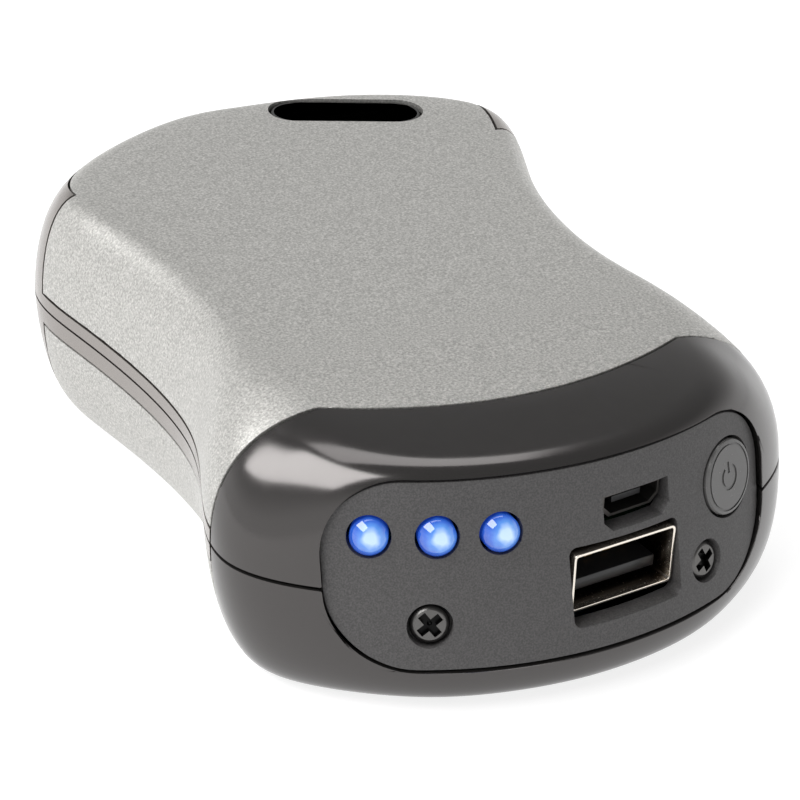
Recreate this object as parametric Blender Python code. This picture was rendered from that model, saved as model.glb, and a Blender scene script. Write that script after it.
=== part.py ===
"""Rechargeable hand warmer lying on its back cover, every piece at its real size in metres.

The body is a rounded slab with an hourglass plan. Its port end leans back and holds a curved panel.
Everything is modelled about the datum, where the parting plane of the two halves meets the middle
of the panel's face: X runs across the body, Y from the port end to the lanyard end and Z up.
"""
import math

import bmesh
import bpy
import numpy as np
from mathutils import Matrix, Vector

# Body plan
BODY_LENGTH = 0.1054
PORT_HALF_WIDTH = 0.0332
FLARE_HALF_WIDTH = 0.0322
WAIST_HALF_WIDTH = 0.0283
SHOULDER_HALF_WIDTH = 0.0311
PORT_END_RADIUS = 0.0466
PORT_ARC_SHARES = (0.0, 0.35, 0.65)
PORT_WIDEST_SET_BACK = 0.0011
FLARE_SHARE = 0.243
WAIST_SHARE = 0.375
SHOULDER_SHARE = 0.656
FAR_LEFT_SHARES = ((1.020, 0.801), (0.505, 0.957))
FAR_RIGHT_SHARES = ((1.130, 0.863), (0.600, 0.982))
APEX_SHARE = -0.04

# Body thickness, from the cells outwards
CELL_DIAMETER = 0.0183
FIT_GAP = 0.0003
PAD_THICKNESS = 0.0031
HEATER_THICKNESS = 0.0004
COVER_WALL = 0.0008
NOSE_DROP = 0.0016
NOSE_LIFT = 0.0012
NOSE_DROP_LENGTH = 0.0395

# Rolled edges
WAIST_ROLL = 0.0063
FAR_ROLL = 0.0052
FLANK_ROLL = 0.0074
FLANK_ROLL_PLACE = 0.0153
FLANK_ROLL_SPREAD = 0.0108
ROLL_POWER = 2.25
NOSE_POWER_ABOVE = 5.0
NOSE_POWER_BELOW = 0.8
NOSE_POWER_FADE = 0.0065
EASE_SHARE = 0.08
PORT_LEAN = math.radians(14.0)
FAR_TAPER = math.radians(15.0)

# Covers, frames and end cap
BAND_RISE = 0.0020
BAND_DROP = 0.0025
FRAME_WALL = 0.0014
CAP_WALL = 0.0016
CAP_EDGE = 0.0146
CAP_SIDE_SET_BACK = 0.0059
SEAM = 0.0003
COVER_SHOULDER_FROM_END = 0.0269
COVER_INSET = 0.0048
WINDOW_MARGIN = 0.0006

# Port panel
LIP = 0.0009
PANEL_HALF_WIDTH = 0.0260
PANEL_TOP = 0.0113
PANEL_BOTTOM = 0.0084
PANEL_CORNER = 0.0080
PANEL_WALL = 0.0022

# USB-A outlet
USB_A_X = 0.0055
USB_A_Z = -0.0015
USB_A_WIDTH = 0.0131
USB_A_HEIGHT = 0.0070
USB_A_LENGTH = 0.0140
USB_A_WALL = 0.0003
USB_A_RECESS = 0.0012
USB_A_MARGIN = 0.0008
USB_A_SIDE_MARGIN = 0.0004
USB_A_CORNER = 0.0009
USB_A_TONGUE_WIDTH = 0.0111
USB_A_TONGUE_HEIGHT = 0.0014
USB_A_TONGUE_RECESS = 0.0019
USB_A_TONGUE_DROP = 0.0016
USB_A_BLOCK_LENGTH = 0.0025
CONTACT_WIDTH = 0.0010
CONTACT_THICKNESS = 0.0003
CONTACT_PITCH = 0.0024
CONTACT_SET_BACK = 0.0028

# Micro-USB inlet
MICRO_X = 0.0070
MICRO_Z = 0.0055
MICRO_WIDTH = 0.0076
MICRO_HEIGHT = 0.0028
MICRO_LENGTH = 0.0055
MICRO_WALL = 0.0003
MICRO_RECESS = 0.0016
MICRO_MARGIN = 0.0005
MICRO_CHAMFER = 0.0010
MICRO_TONGUE_WIDTH = 0.0038
MICRO_TONGUE_HEIGHT = 0.0007
MICRO_TONGUE_RECESS = 0.0008
MICRO_BLOCK_LENGTH = 0.0012
STAND_WIDTH = 0.0070
STAND_LENGTH = 0.0034

# Circuit board
BOARD_THICKNESS = 0.0008
BOARD_HALF_WIDTH = 0.0232
BOARD_SET_BACK = 0.0050

# Lights
LED_FIRST_X = -0.0216
LED_PITCH = 0.0064
LED_Z = 0.0056
LED_DIAMETER = 0.0040
LED_PROUD = 0.0011
LED_STEM_DIAMETER = 0.0022
LED_FLANGE = 0.0016
LED_DEPTH = 0.0040
LED_CHIP_WIDTH = 0.0022
LED_CHIP_DEPTH = 0.0014
LED_CHIP_HEIGHT = 0.0018

# Power button and its switch
BUTTON_X = 0.0205
BUTTON_Z = 0.0039
BUTTON_DIAMETER = 0.0084
BUTTON_PROUD = 0.0002
BUTTON_THICKNESS = 0.0016
BUTTON_TRAVEL = 0.0005
BUTTON_STEM_DIAMETER = 0.0030
BUTTON_STEM_LENGTH = 0.0020
PLUNGER_DIAMETER = 0.0018
PLUNGER_LENGTH = 0.0018
PLUNGER_ENTRY = 0.0006
SWITCH_WIDTH = 0.0045
SWITCH_HEIGHT = 0.0032
SWITCH_DEPTH = 0.0030

# Panel screws and their bosses
SCREW_X = 0.0165
SCREW_Z = -0.0037
SCREW_HEAD_DIAMETER = 0.0042
SCREW_HEAD_HEIGHT = 0.0010
SCREW_SHANK_DIAMETER = 0.0020
SCREW_LENGTH = 0.0058
SCREW_SINK = 0.0003
CROSS_LENGTH = 0.0026
CROSS_WIDTH = 0.0006
CROSS_DEPTH = 0.0006
BOSS_DIAMETER = 0.0040
BOSS_LENGTH = 0.0040
BOSS_WEB = 0.0016

# Lanyard eyelet
EYELET_X = 0.0136
EYELET_FROM_END = 0.0140
EYELET_ANGLE = math.radians(-22.0)
EYELET_LENGTH = 0.0184
EYELET_WIDTH = 0.0056
EYELET_WALL = 0.0007
EYELET_SINK = 0.0003

# Cells, their strips and their seats
BULKHEAD_FACE = 0.0186
BULKHEAD_WALL = 0.0012
BULKHEAD_HALF_WIDTH = 0.0168
BULKHEAD_TOP = 0.0080
LEDGE_DEPTH = 0.0024
LEDGE_HEIGHT = 0.0014
CELL_SHIFT = -0.0030
CELL_END_ROOM = 0.0197
CELL_BEVEL = 0.0008
STRIP_THICKNESS = 0.0003
STRIP_WIDTH = 0.0070
STRIP_LENGTH = 0.0260
CRADLE_NEAR_SET_IN = 0.0093
CRADLE_FAR_SET_IN = 0.0033
CRADLE_WALL = 0.0014
CRADLE_HALF_WIDTH = 0.0175
CRADLE_RISE = 0.0060

# Heaters, pads and sensor
HEATER_START = 0.0380
HEATER_END_ROOM = 0.0254
HEATER_HALF_WIDTH = 0.0150
HEATER_CORNER = 0.0030
PAD_MARGIN = 0.0018
SENSOR_LENGTH = 0.0024
SENSOR_WIDTH = 0.0020
SENSOR_HEIGHT = 0.0014
SENSOR_SET_IN = 0.0140

# Fineness of round forms
LOOP_POINTS = 72
ROLL_STEPS = 4
TOP_STEPS = 2
ARC_SIDES = 24
SMALL_SIDES = 16
CURVATURE_WEIGHT = 0.010
OVERRUN = 0.0200
BODY_HALF_THICKNESS = (CELL_DIAMETER / 2 + PAD_THICKNESS + HEATER_THICKNESS + COVER_WALL
                       + 3 * FIT_GAP)


# Places that follow from the sizes
CAP_EDGE_SIDE = (PORT_END_RADIUS - math.sqrt(PORT_END_RADIUS**2 - PORT_HALF_WIDTH**2)
                 + CAP_SIDE_SET_BACK)
BOARD_BOTTOM = USB_A_Z + USB_A_HEIGHT / 2 + FIT_GAP
BOARD_TOP = BOARD_BOTTOM + BOARD_THICKNESS
PLUNGER_FRONT = BUTTON_THICKNESS - BUTTON_PROUD + BUTTON_STEM_LENGTH + FIT_GAP
BUTTON_SWITCH_FRONT = PLUNGER_FRONT + PLUNGER_LENGTH - PLUNGER_ENTRY
CELL_START = BULKHEAD_FACE + BULKHEAD_WALL + 2 * FIT_GAP + STRIP_THICKNESS
CELL_LENGTH = BODY_LENGTH - CELL_END_ROOM - CELL_START
HEATER_LENGTH = BODY_LENGTH - HEATER_END_ROOM - HEATER_START
COVER_SHOULDER = BODY_LENGTH - COVER_SHOULDER_FROM_END
LED_PLACES = (("left", LED_FIRST_X), ("middle", LED_FIRST_X + LED_PITCH),
              ("right", LED_FIRST_X + 2 * LED_PITCH))
SIDES = (("left", -1.0), ("right", 1.0))

PARTS = "Hand warmer"
CUTTERS = "Cutters"

COLOURS = {
    "sprayed_aluminium": ((0.40, 0.39, 0.37), 0.45, 0.7),
    "silver_plastic": ((0.42, 0.40, 0.38), 0.22, 0.6),
    "gloss_black": ((0.018, 0.017, 0.016), 0.12, 0.0),
    "matt_black": ((0.065, 0.062, 0.062), 0.62, 0.0),
    "button_grey": ((0.10, 0.10, 0.10), 0.25, 0.0),
    "dark_steel": ((0.10, 0.10, 0.10), 0.30, 1.0),
    "nickel": ((0.75, 0.72, 0.66), 0.20, 1.0),
    "gold": ((0.83, 0.55, 0.18), 0.25, 1.0),
    "blue_lens": ((0.10, 0.35, 0.95), 0.08, 0.0),
    "board_green": ((0.02, 0.16, 0.07), 0.40, 0.0),
    "cell_wrap": ((0.03, 0.20, 0.42), 0.30, 0.0),
    "amber_film": ((0.60, 0.28, 0.05), 0.35, 0.0),
    "grey_foam": ((0.20, 0.20, 0.21), 0.90, 0.0),
    "white_plastic": ((0.75, 0.75, 0.72), 0.40, 0.0),
}


# Scene set-up

def clear_scene():
    for item in list(bpy.data.objects):
        bpy.data.objects.remove(item, do_unlink=True)


def collection(name):
    found = bpy.data.collections.get(name)
    if found is None:
        found = bpy.data.collections.new(name)
        bpy.context.scene.collection.children.link(found)
    return found


def material(name):
    found = bpy.data.materials.get(name)
    if found is None:
        colour, roughness, metallic = COLOURS[name]
        found = bpy.data.materials.new(name)
        found.use_nodes = True
        shader = found.node_tree.nodes["Principled BSDF"]
        shader.inputs["Base Color"].default_value = (*colour, 1.0)
        shader.inputs["Roughness"].default_value = roughness
        shader.inputs["Metallic"].default_value = metallic
        found.diffuse_color = (*colour, 1.0)
    return found


class Build:
    """Holds the datum empty that carries every part and every cutter."""

    def __init__(self, datum):
        self.datum = datum

    def add(self, name, mesh_data, finish=None):
        """A part where finish is given, otherwise a hidden cutter."""
        mesh = bpy.data.meshes.new(name)
        mesh_data.to_mesh(mesh)
        mesh_data.free()
        item = bpy.data.objects.new(name, mesh)
        item.parent = self.datum
        if finish:
            mesh.materials.append(material(finish))
            collection(PARTS).objects.link(item)
            mesh.shade_smooth()
            mesh.set_sharp_from_angle(angle=math.radians(35.0))
        else:
            item.hide_render = True
            item.display_type = "WIRE"
            collection(CUTTERS).objects.link(item)
        return item


def cut(item, cutter, operation="DIFFERENCE"):
    modifier = item.modifiers.new(cutter.name, "BOOLEAN")
    modifier.operation = operation
    modifier.object = cutter
    modifier.solver = "MANIFOLD"
    return item


# Plan outline of the body

def arc_sag(x, radius):
    """How far a circle of this radius has fallen back at x from its middle."""
    return radius - math.sqrt(radius * radius - x * x)


def plan_points(side):
    """One side of the plan, from the middle of the port end to the apex of the far end."""
    points = []
    for share in PORT_ARC_SHARES:
        x = share * PORT_HALF_WIDTH
        points.append((x, arc_sag(x, PORT_END_RADIUS) - LIP))
    points.append((PORT_HALF_WIDTH,
                   arc_sag(PORT_HALF_WIDTH, PORT_END_RADIUS) + PORT_WIDEST_SET_BACK))
    points.append((FLARE_HALF_WIDTH, FLARE_SHARE * BODY_LENGTH))
    points.append((WAIST_HALF_WIDTH, WAIST_SHARE * BODY_LENGTH))
    points.append((SHOULDER_HALF_WIDTH, SHOULDER_SHARE * BODY_LENGTH))
    for across_share, along_share in FAR_RIGHT_SHARES if side > 0 else FAR_LEFT_SHARES:
        points.append((across_share * SHOULDER_HALF_WIDTH, along_share * BODY_LENGTH))
    points.append((side * APEX_SHARE * SHOULDER_HALF_WIDTH, BODY_LENGTH))
    return np.array(points)


def smooth_curve(points, samples):
    """Places and directions on the cubic spline through the points, level at both ends."""
    steps = np.linalg.norm(np.diff(points, axis=0), axis=1) ** 0.7
    knots = np.concatenate([[0.0], np.cumsum(steps)])
    count = len(points)
    system = np.zeros((count, count))
    right = np.zeros((count, 2))
    system[0, 0] = 1.0
    right[0] = (np.linalg.norm(points[1] - points[0]) / steps[0], 0.0)
    system[-1, -1] = 1.0
    right[-1] = (-np.linalg.norm(points[-1] - points[-2]) / steps[-1], 0.0)
    for i in range(1, count - 1):
        before, after = steps[i - 1], steps[i]
        system[i, i - 1] = after
        system[i, i] = 2 * (before + after)
        system[i, i + 1] = before
        right[i] = 3 * (after * (points[i] - points[i - 1]) / before
                        + before * (points[i + 1] - points[i]) / after)
    slopes = np.linalg.solve(system, right)
    places = []
    directions = []
    for value in np.linspace(0.0, knots[-1], samples):
        i = min(int(np.searchsorted(knots, value, side="right")) - 1, count - 2)
        span = steps[i]
        t = (value - knots[i]) / span
        start, end = points[i], points[i + 1]
        leave, arrive = slopes[i] * span, slopes[i + 1] * span
        places.append((2 * t**3 - 3 * t**2 + 1) * start + (t**3 - 2 * t**2 + t) * leave
                      + (3 * t**2 - 2 * t**3) * end + (t**3 - t**2) * arrive)
        directions.append(((6 * t**2 - 6 * t) * start + (3 * t**2 - 4 * t + 1) * leave
                           + (6 * t - 6 * t**2) * end + (3 * t**2 - 2 * t) * arrive))
    directions = np.array(directions)
    return np.array(places), directions / np.linalg.norm(directions, axis=1)[:, None]


def plan_side(side):
    """(place, inward normal) pairs along one side, with more points in tighter bends."""
    places, directions = smooth_curve(plan_points(side), 40 * LOOP_POINTS)
    headings = np.unwrap(np.arctan2(directions[:, 1], directions[:, 0]))
    lengths = np.linalg.norm(np.diff(places, axis=0), axis=1)
    weights = lengths + CURVATURE_WEIGHT * np.abs(np.diff(headings))
    along = np.concatenate([[0.0], np.cumsum(weights)])
    picks = [int(np.argmin(np.abs(along - value)))
             for value in np.linspace(0.0, along[-1], LOOP_POINTS // 2 + 1)]
    line = [(Vector((side * places[k][0], places[k][1])),
             Vector((-side * directions[k][1], directions[k][0]))) for k in picks]
    line[0] = (line[0][0], Vector((0.0, 1.0)))
    line[-1] = (line[-1][0], Vector((0.0, -1.0)))
    return line


def plan_loop():
    """Closed plan outline: up the right side and back down the left."""
    return plan_side(1.0) + plan_side(-1.0)[-2:0:-1]


# Rolled surface over the plan

def half_thickness(y, upper):
    """Height of the flat: both flats draw in a little towards the port end."""
    ahead = max(0.0, 1.0 - y / NOSE_DROP_LENGTH)
    return BODY_HALF_THICKNESS - (NOSE_DROP if upper else NOSE_LIFT) * ahead * ahead


def roll_width(y, upper):
    """The roll is widest on the upper side of the port end's flanks."""
    share = min(max(y / BODY_LENGTH, 0.0), 1.0)
    roll = WAIST_ROLL + (FAR_ROLL - WAIST_ROLL) * share
    if upper:
        roll += FLANK_ROLL * math.exp(-((y - FLANK_ROLL_PLACE) / FLANK_ROLL_SPREAD) ** 2)
    return roll


def roll_power(y, upper):
    """Squareness of the rolled edge: greater round the panel."""
    extra = NOSE_POWER_ABOVE if upper else NOSE_POWER_BELOW
    return ROLL_POWER + extra * math.exp(-(y / NOSE_POWER_FADE) ** 2)


def lean_shift(y, z):
    """Shift along Y of a point at height z: the port end leans back, the far end draws in."""
    far_share = min(max(y / BODY_LENGTH, 0.0), 1.0)
    port_share = 1.0 - far_share
    return (z * math.tan(PORT_LEAN) * port_share**2
            - abs(z) * math.tan(FAR_TAPER) * far_share**2)


def eased_normals(loop):
    """Inward directions averaged over their neighbours, so that a wide roll doesn't fold."""
    reach = round(LOOP_POINTS * EASE_SHARE)
    eased = []
    for i in range(LOOP_POINTS):
        total = Vector((0.0, 0.0))
        for step in range(-reach, reach + 1):
            total += loop[(i + step) % LOOP_POINTS][1]
        eased.append(total.normalized())
    return eased


def skin_loops(offset, upper):
    """Loops of the body's skin, moved in by offset, from the parting plane to the middle line."""
    loop = plan_loop()
    eased = eased_normals(loop)
    side = 1.0 if upper else -1.0
    loops = []
    for step in range(ROLL_STEPS + 1):
        angle = math.pi / 2 * step / ROLL_STEPS
        ring = []
        for (place, inward), ease in zip(loop, eased):
            roll = roll_width(place.y, upper) - offset
            power = roll_power(place.y, upper)
            inset = roll * (1.0 - math.cos(angle) ** (2 / power))
            flat = place + inward * offset + ease * inset
            rise = (half_thickness(flat.y, upper) - offset) * math.sin(angle) ** (2 / power)
            ring.append(Vector((flat.x, flat.y + lean_shift(flat.y, side * rise), side * rise)))
        loops.append(ring)
    rim = loops[-1]
    low = min(point.y for point in rim)
    high = max(point.y for point in rim)
    for step in range(1, TOP_STEPS + 1):
        blend = step / TOP_STEPS
        ring = []
        for i, point in enumerate(rim):
            along = 2 * min(i, LOOP_POINTS - i) / LOOP_POINTS
            middle = Vector((0.0, low + (high - low) * (1 + 2 * along) / 4, 0.0))
            flat = point.lerp(middle, blend)
            flat.z = side * (half_thickness(flat.y, upper) - offset)
            ring.append(flat)
        loops.append(ring)
    return loops


def body_form(offset):
    """The whole body, moved in by offset, as one closed form."""
    below = skin_loops(offset, False)
    above = skin_loops(offset, True)
    rings = below[:0:-1] + above
    data = bmesh.new()
    rows = [[data.verts.new(point) for point in ring] for ring in rings]
    for lower, upper in zip(rows, rows[1:]):
        for i in range(LOOP_POINTS):
            j = (i + 1) % LOOP_POINTS
            data.faces.new((lower[i], lower[j], upper[j], upper[i]))
    bmesh.ops.remove_doubles(data, verts=data.verts, dist=FIT_GAP / 10)
    bmesh.ops.recalc_face_normals(data, faces=data.faces)
    return data


# Plain forms

def prism(outline, direction, low, high):
    """An outline of (x, y) pairs stretched along Z, or of (x, z) pairs stretched along Y."""
    data = bmesh.new()
    ends = []
    for level in (low, high):
        if direction == "Z":
            ends.append([data.verts.new((a, b, level)) for a, b in outline])
        else:
            ends.append([data.verts.new((a, level, b)) for a, b in outline])
    count = len(outline)
    data.faces.new(ends[0])
    data.faces.new(ends[1])
    for i in range(count):
        j = (i + 1) % count
        data.faces.new((ends[0][i], ends[0][j], ends[1][j], ends[1][i]))
    bmesh.ops.recalc_face_normals(data, faces=data.faces)
    return data


def box(size, centre, turn=None):
    data = bmesh.new()
    placed = Matrix.Translation(centre) @ (turn or Matrix.Identity(4))
    bmesh.ops.create_cube(data, size=1.0, matrix=placed @ Matrix.Diagonal((*size, 1.0)))
    return data


def rod(diameter, length, start, axis, sides=SMALL_SIDES):
    """A round bar that begins at start and runs along axis."""
    data = bmesh.new()
    axis = Vector(axis).normalized()
    turn = axis.to_track_quat("Z", "Y").to_matrix().to_4x4()
    placed = Matrix.Translation(Vector(start) + axis * length / 2) @ turn
    bmesh.ops.create_cone(data, cap_ends=True, segments=sides, radius1=diameter / 2,
                          radius2=diameter / 2, depth=length, matrix=placed)
    return data


def turned(profile, start, axis, sides=SMALL_SIDES):
    """A form turned about axis from (radius, distance) pairs; the first and last are on the axis."""
    data = bmesh.new()
    axis = Vector(axis).normalized()
    placed = Matrix.Translation(start) @ axis.to_track_quat("Z", "Y").to_matrix().to_4x4()
    rings = []
    for radius, along in profile:
        if radius == 0:
            rings.append([data.verts.new(placed @ Vector((0.0, 0.0, along)))])
            continue
        ring = []
        for step in range(sides):
            angle = 2 * math.pi * step / sides
            spot = Vector((radius * math.cos(angle), radius * math.sin(angle), along))
            ring.append(data.verts.new(placed @ spot))
        rings.append(ring)
    for first, second in zip(rings, rings[1:]):
        for i in range(sides):
            j = (i + 1) % sides
            corners = (first[i % len(first)], first[j % len(first)],
                       second[j % len(second)], second[i % len(second)])
            data.faces.new(tuple(dict.fromkeys(corners)))
    bmesh.ops.recalc_face_normals(data, faces=data.faces)
    return data


def rounded_rectangle(half_width, low, high, corner, steps=5):
    """(x, z) or (x, y) pairs round a rectangle with round corners, centred on x = 0."""
    corner = min(corner, half_width, (high - low) / 2)
    points = []
    for across, up, first in ((1, -1, -90), (1, 1, 0), (-1, 1, 90), (-1, -1, 180)):
        centre_x = across * (half_width - corner)
        centre_y = high - corner if up > 0 else low + corner
        for step in range(steps + 1):
            angle = math.radians(first + 90 * step / steps)
            points.append((centre_x + corner * math.cos(angle),
                           centre_y + corner * math.sin(angle)))
    return points


def slot_outline(length, width, steps=8):
    """(x, y) pairs round a slot with half-round ends, centred on the origin."""
    radius = width / 2
    reach = length / 2 - radius
    points = []
    for side, first in ((1, -90), (-1, 90)):
        for step in range(steps + 1):
            angle = math.radians(first + 180 * step / steps)
            points.append((side * reach + radius * math.cos(angle), radius * math.sin(angle)))
    return points


# Places on the panel

def panel_face(x, z):
    """Y of the panel's face."""
    return arc_sag(x, PORT_END_RADIUS) + z * math.tan(PORT_LEAN)


def panel_inward(x):
    """Unit vector into the body, square to the panel's face at x."""
    slope = x / math.sqrt(PORT_END_RADIUS**2 - x * x)
    return Vector((-slope, 1.0, -math.tan(PORT_LEAN))).normalized()


def panel_place(x, z, depth=0.0):
    """A point on the panel's face, or behind it along the face's own normal."""
    return Vector((x, panel_face(x, z), z)) + panel_inward(x) * depth


def port_frame(x, z, recess):
    """Place of a port with an upright mouth, turned the way the panel faces at x."""
    mouth = Vector((x, panel_face(x, z) + recess, z))
    return Matrix.Translation(mouth) @ Matrix.Rotation(math.asin(x / PORT_END_RADIUS), 4, "Z")


def moved(data, placed):
    bmesh.ops.transform(data, matrix=placed, verts=data.verts)
    return data


def panel_outline(margin):
    return rounded_rectangle(PANEL_HALF_WIDTH + margin, -PANEL_BOTTOM - margin,
                             PANEL_TOP + margin, PANEL_CORNER + margin, 6)


def curved_wall(front, back):
    """Leaning round wall between two depths behind the panel's face, wider than the panel."""
    data = bmesh.new()
    half_angle = math.asin(min(0.9, (PANEL_HALF_WIDTH + SEAM + LIP) / (PORT_END_RADIUS - back)))
    columns = 20
    rows = []
    low = -PANEL_BOTTOM - OVERRUN
    high = PANEL_TOP + OVERRUN
    for step in range(columns + 1):
        angle = half_angle * (2 * step / columns - 1)
        row = []
        for depth in (front, back):
            radius = PORT_END_RADIUS - depth
            for z in (low, high):
                y = PORT_END_RADIUS - radius * math.cos(angle) + z * math.tan(PORT_LEAN)
                row.append(data.verts.new((radius * math.sin(angle), y, z)))
        rows.append((row[0], row[1], row[3], row[2]))
    for first, second in zip(rows, rows[1:]):
        for i in range(4):
            j = (i + 1) % 4
            data.faces.new((first[i], first[j], second[j], second[i]))
    data.faces.new(rows[0])
    data.faces.new(rows[-1])
    bmesh.ops.recalc_face_normals(data, faces=data.faces)
    return data


def panel_frame(x):
    """Turn that takes X along the panel's face, Y into the body and Z up the face."""
    inward = panel_inward(x)
    across = inward.cross(Vector((0.0, 0.0, 1.0))).normalized()
    up = across.cross(inward)
    turn = Matrix((across, inward, up)).transposed()
    return turn.to_4x4()


# Zones that split the body's skin into covers, frames and caps

def cap_edge_outline(shift, far):
    """Plan from the cap's edge, moved back by shift, to far: an arc between straight cheeks."""
    half = PORT_HALF_WIDTH + OVERRUN
    arc_reach = math.sqrt(PORT_END_RADIUS**2
                          - (PORT_END_RADIUS - CAP_EDGE_SIDE + CAP_EDGE) ** 2)
    points = [(half, far), (-half, far), (-half, CAP_EDGE_SIDE + shift)]
    steps = 12
    for step in range(steps + 1):
        x = arc_reach * (2 * step / steps - 1)
        points.append((x, CAP_EDGE + arc_sag(x, PORT_END_RADIUS) + shift))
    points.append((half, CAP_EDGE_SIDE + shift))
    return points


def inset_outline(inset):
    return [tuple(place + inward * inset) for place, inward in plan_loop()]


def cover_zone(build, name, grow, upper):
    """Room of one cover: its sides as far as the shoulders, and its flat beyond them."""
    side = 1.0 if upper else -1.0
    edge = side * ((BAND_RISE if upper else BAND_DROP) - grow)
    far_z = side * (BODY_HALF_THICKNESS + OVERRUN)
    sides = cap_edge_outline(SEAM / 2 - grow, COVER_SHOULDER + grow)
    zone = build.add(name, prism(sides, "Z", edge, far_z))
    top = build.add(name + "_far", prism(inset_outline(COVER_INSET - grow), "Z", edge, far_z))
    near = build.add(name + "_near", box((2 * PORT_HALF_WIDTH + 2 * OVERRUN, COVER_SHOULDER,
                                          2 * OVERRUN + 2 * BODY_HALF_THICKNESS),
                                         (0.0, COVER_SHOULDER / 2 - OVERRUN, 0.0)))
    cut(top, near)
    return cut(zone, top, "UNION")


def eyelet_turn():
    centre = Vector((EYELET_X, BODY_LENGTH - EYELET_FROM_END, 0.0))
    return Matrix.Translation(centre) @ Matrix.Rotation(EYELET_ANGLE, 4, "Z")


def eyelet_prism(grow, low, high):
    data = prism(slot_outline(EYELET_LENGTH + 2 * grow, EYELET_WIDTH + 2 * grow), "Z", low, high)
    bmesh.ops.transform(data, matrix=eyelet_turn(), verts=data.verts)
    return data


# Sub-parts

def make_covers(build, forms):
    for name, upper in (("front_cover", True), ("rear_cover", False)):
        cover = build.add(name, body_form(0.0), "sprayed_aluminium")
        zone = cover_zone(build, name + "_zone", 0.0, upper)
        cut(cover, zone, "INTERSECT")
        cut(cover, forms["cover_inside"])
        cut(cover, forms["eyelet_hole"])


def make_frames(build, forms):
    frames = {}
    for name, upper in (("upper_frame", True), ("lower_frame", False)):
        side = 1.0 if upper else -1.0
        far_z = side * (BODY_HALF_THICKNESS + OVERRUN)
        frame = build.add(name, body_form(0.0), "silver_plastic")
        half = cap_edge_outline(SEAM / 2, BODY_LENGTH + OVERRUN)
        keep = build.add(name + "_half", prism(half, "Z", side * SEAM / 2, far_z))
        cut(frame, keep, "INTERSECT")
        seat = cover_zone(build, name + "_seat", FIT_GAP, upper)
        cut(seat, forms["cover_seat"])
        cut(frame, seat)
        cut(frame, forms["frame_inside"])
        cut(frame, forms["eyelet_hole"])
        window = rounded_rectangle(HEATER_HALF_WIDTH + WINDOW_MARGIN, HEATER_START - WINDOW_MARGIN,
                                   HEATER_START + HEATER_LENGTH + WINDOW_MARGIN,
                                   HEATER_CORNER + WINDOW_MARGIN, 3)
        levels = sorted((side * CELL_DIAMETER / 2, far_z))
        cut(frame, build.add(name + "_window", prism(window, "Z", *levels)))
        frames[name] = frame
    return frames


def make_caps(build, forms):
    caps = {}
    for name, upper in (("end_cap_upper", True), ("end_cap_lower", False)):
        side = 1.0 if upper else -1.0
        far_z = side * (BODY_HALF_THICKNESS + OVERRUN)
        cap = build.add(name, body_form(0.0), "gloss_black")
        half = cap_edge_outline(-SEAM / 2, -OVERRUN)
        keep = build.add(name + "_half", prism(half, "Z", side * SEAM / 2, far_z))
        cut(cap, keep, "INTERSECT")
        cut(cap, forms["panel_opening"])
        cut(cap, forms["cap_inside"])
        caps[name] = cap
    return caps


def make_panel(build):
    panel = build.add("port_panel", curved_wall(0.0, PANEL_WALL), "matt_black")
    shape = prism(panel_outline(0.0), "Y", -OVERRUN, OVERRUN)
    cut(panel, build.add("panel_shape", shape), "INTERSECT")
    outline = rounded_rectangle(USB_A_WIDTH / 2 + USB_A_SIDE_MARGIN,
                                -USB_A_HEIGHT / 2 - USB_A_MARGIN,
                                USB_A_HEIGHT / 2 + USB_A_MARGIN, USB_A_CORNER, 3)
    outlet = moved(prism(outline, "Y", -OVERRUN, OVERRUN), port_frame(USB_A_X, USB_A_Z, 0.0))
    cut(panel, build.add("outlet_opening", outlet))
    inlet = moved(prism(micro_outline(MICRO_MARGIN), "Y", -OVERRUN, OVERRUN),
                  port_frame(MICRO_X, MICRO_Z, 0.0))
    cut(panel, build.add("inlet_opening", inlet))
    for label, x in LED_PLACES:
        hole = rod(LED_DIAMETER + 2 * FIT_GAP, 2 * OVERRUN, panel_place(x, LED_Z, -OVERRUN),
                   panel_inward(x))
        cut(panel, build.add("led_hole_" + label, hole))
    bore = rod(BUTTON_DIAMETER + 2 * FIT_GAP, 2 * OVERRUN,
               panel_place(BUTTON_X, BUTTON_Z, -OVERRUN), panel_inward(BUTTON_X), ARC_SIDES)
    cut(panel, build.add("button_bore", bore))
    for label, side in SIDES:
        x = side * SCREW_X
        sink = turned([(0, -OVERRUN), (SCREW_HEAD_DIAMETER / 2 + FIT_GAP, -OVERRUN),
                       (SCREW_HEAD_DIAMETER / 2 + FIT_GAP, SCREW_SINK + SCREW_HEAD_HEIGHT + FIT_GAP),
                       (SCREW_SHANK_DIAMETER / 2 + FIT_GAP, SCREW_SINK + SCREW_HEAD_HEIGHT + FIT_GAP),
                       (SCREW_SHANK_DIAMETER / 2 + FIT_GAP, OVERRUN), (0, OVERRUN)],
                      panel_place(x, SCREW_Z), panel_inward(x))
        cut(panel, build.add("screw_sink_" + label, sink))


def micro_outline(grow):
    """(x, z) pairs round the inlet's middle; its lower corners are cut off."""
    half = MICRO_WIDTH / 2 + grow
    rise = MICRO_HEIGHT / 2 + grow
    return [(MICRO_CHAMFER - half, -rise), (half - MICRO_CHAMFER, -rise),
            (half, MICRO_CHAMFER - rise), (half, rise), (-half, rise),
            (-half, MICRO_CHAMFER - rise)]


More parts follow.
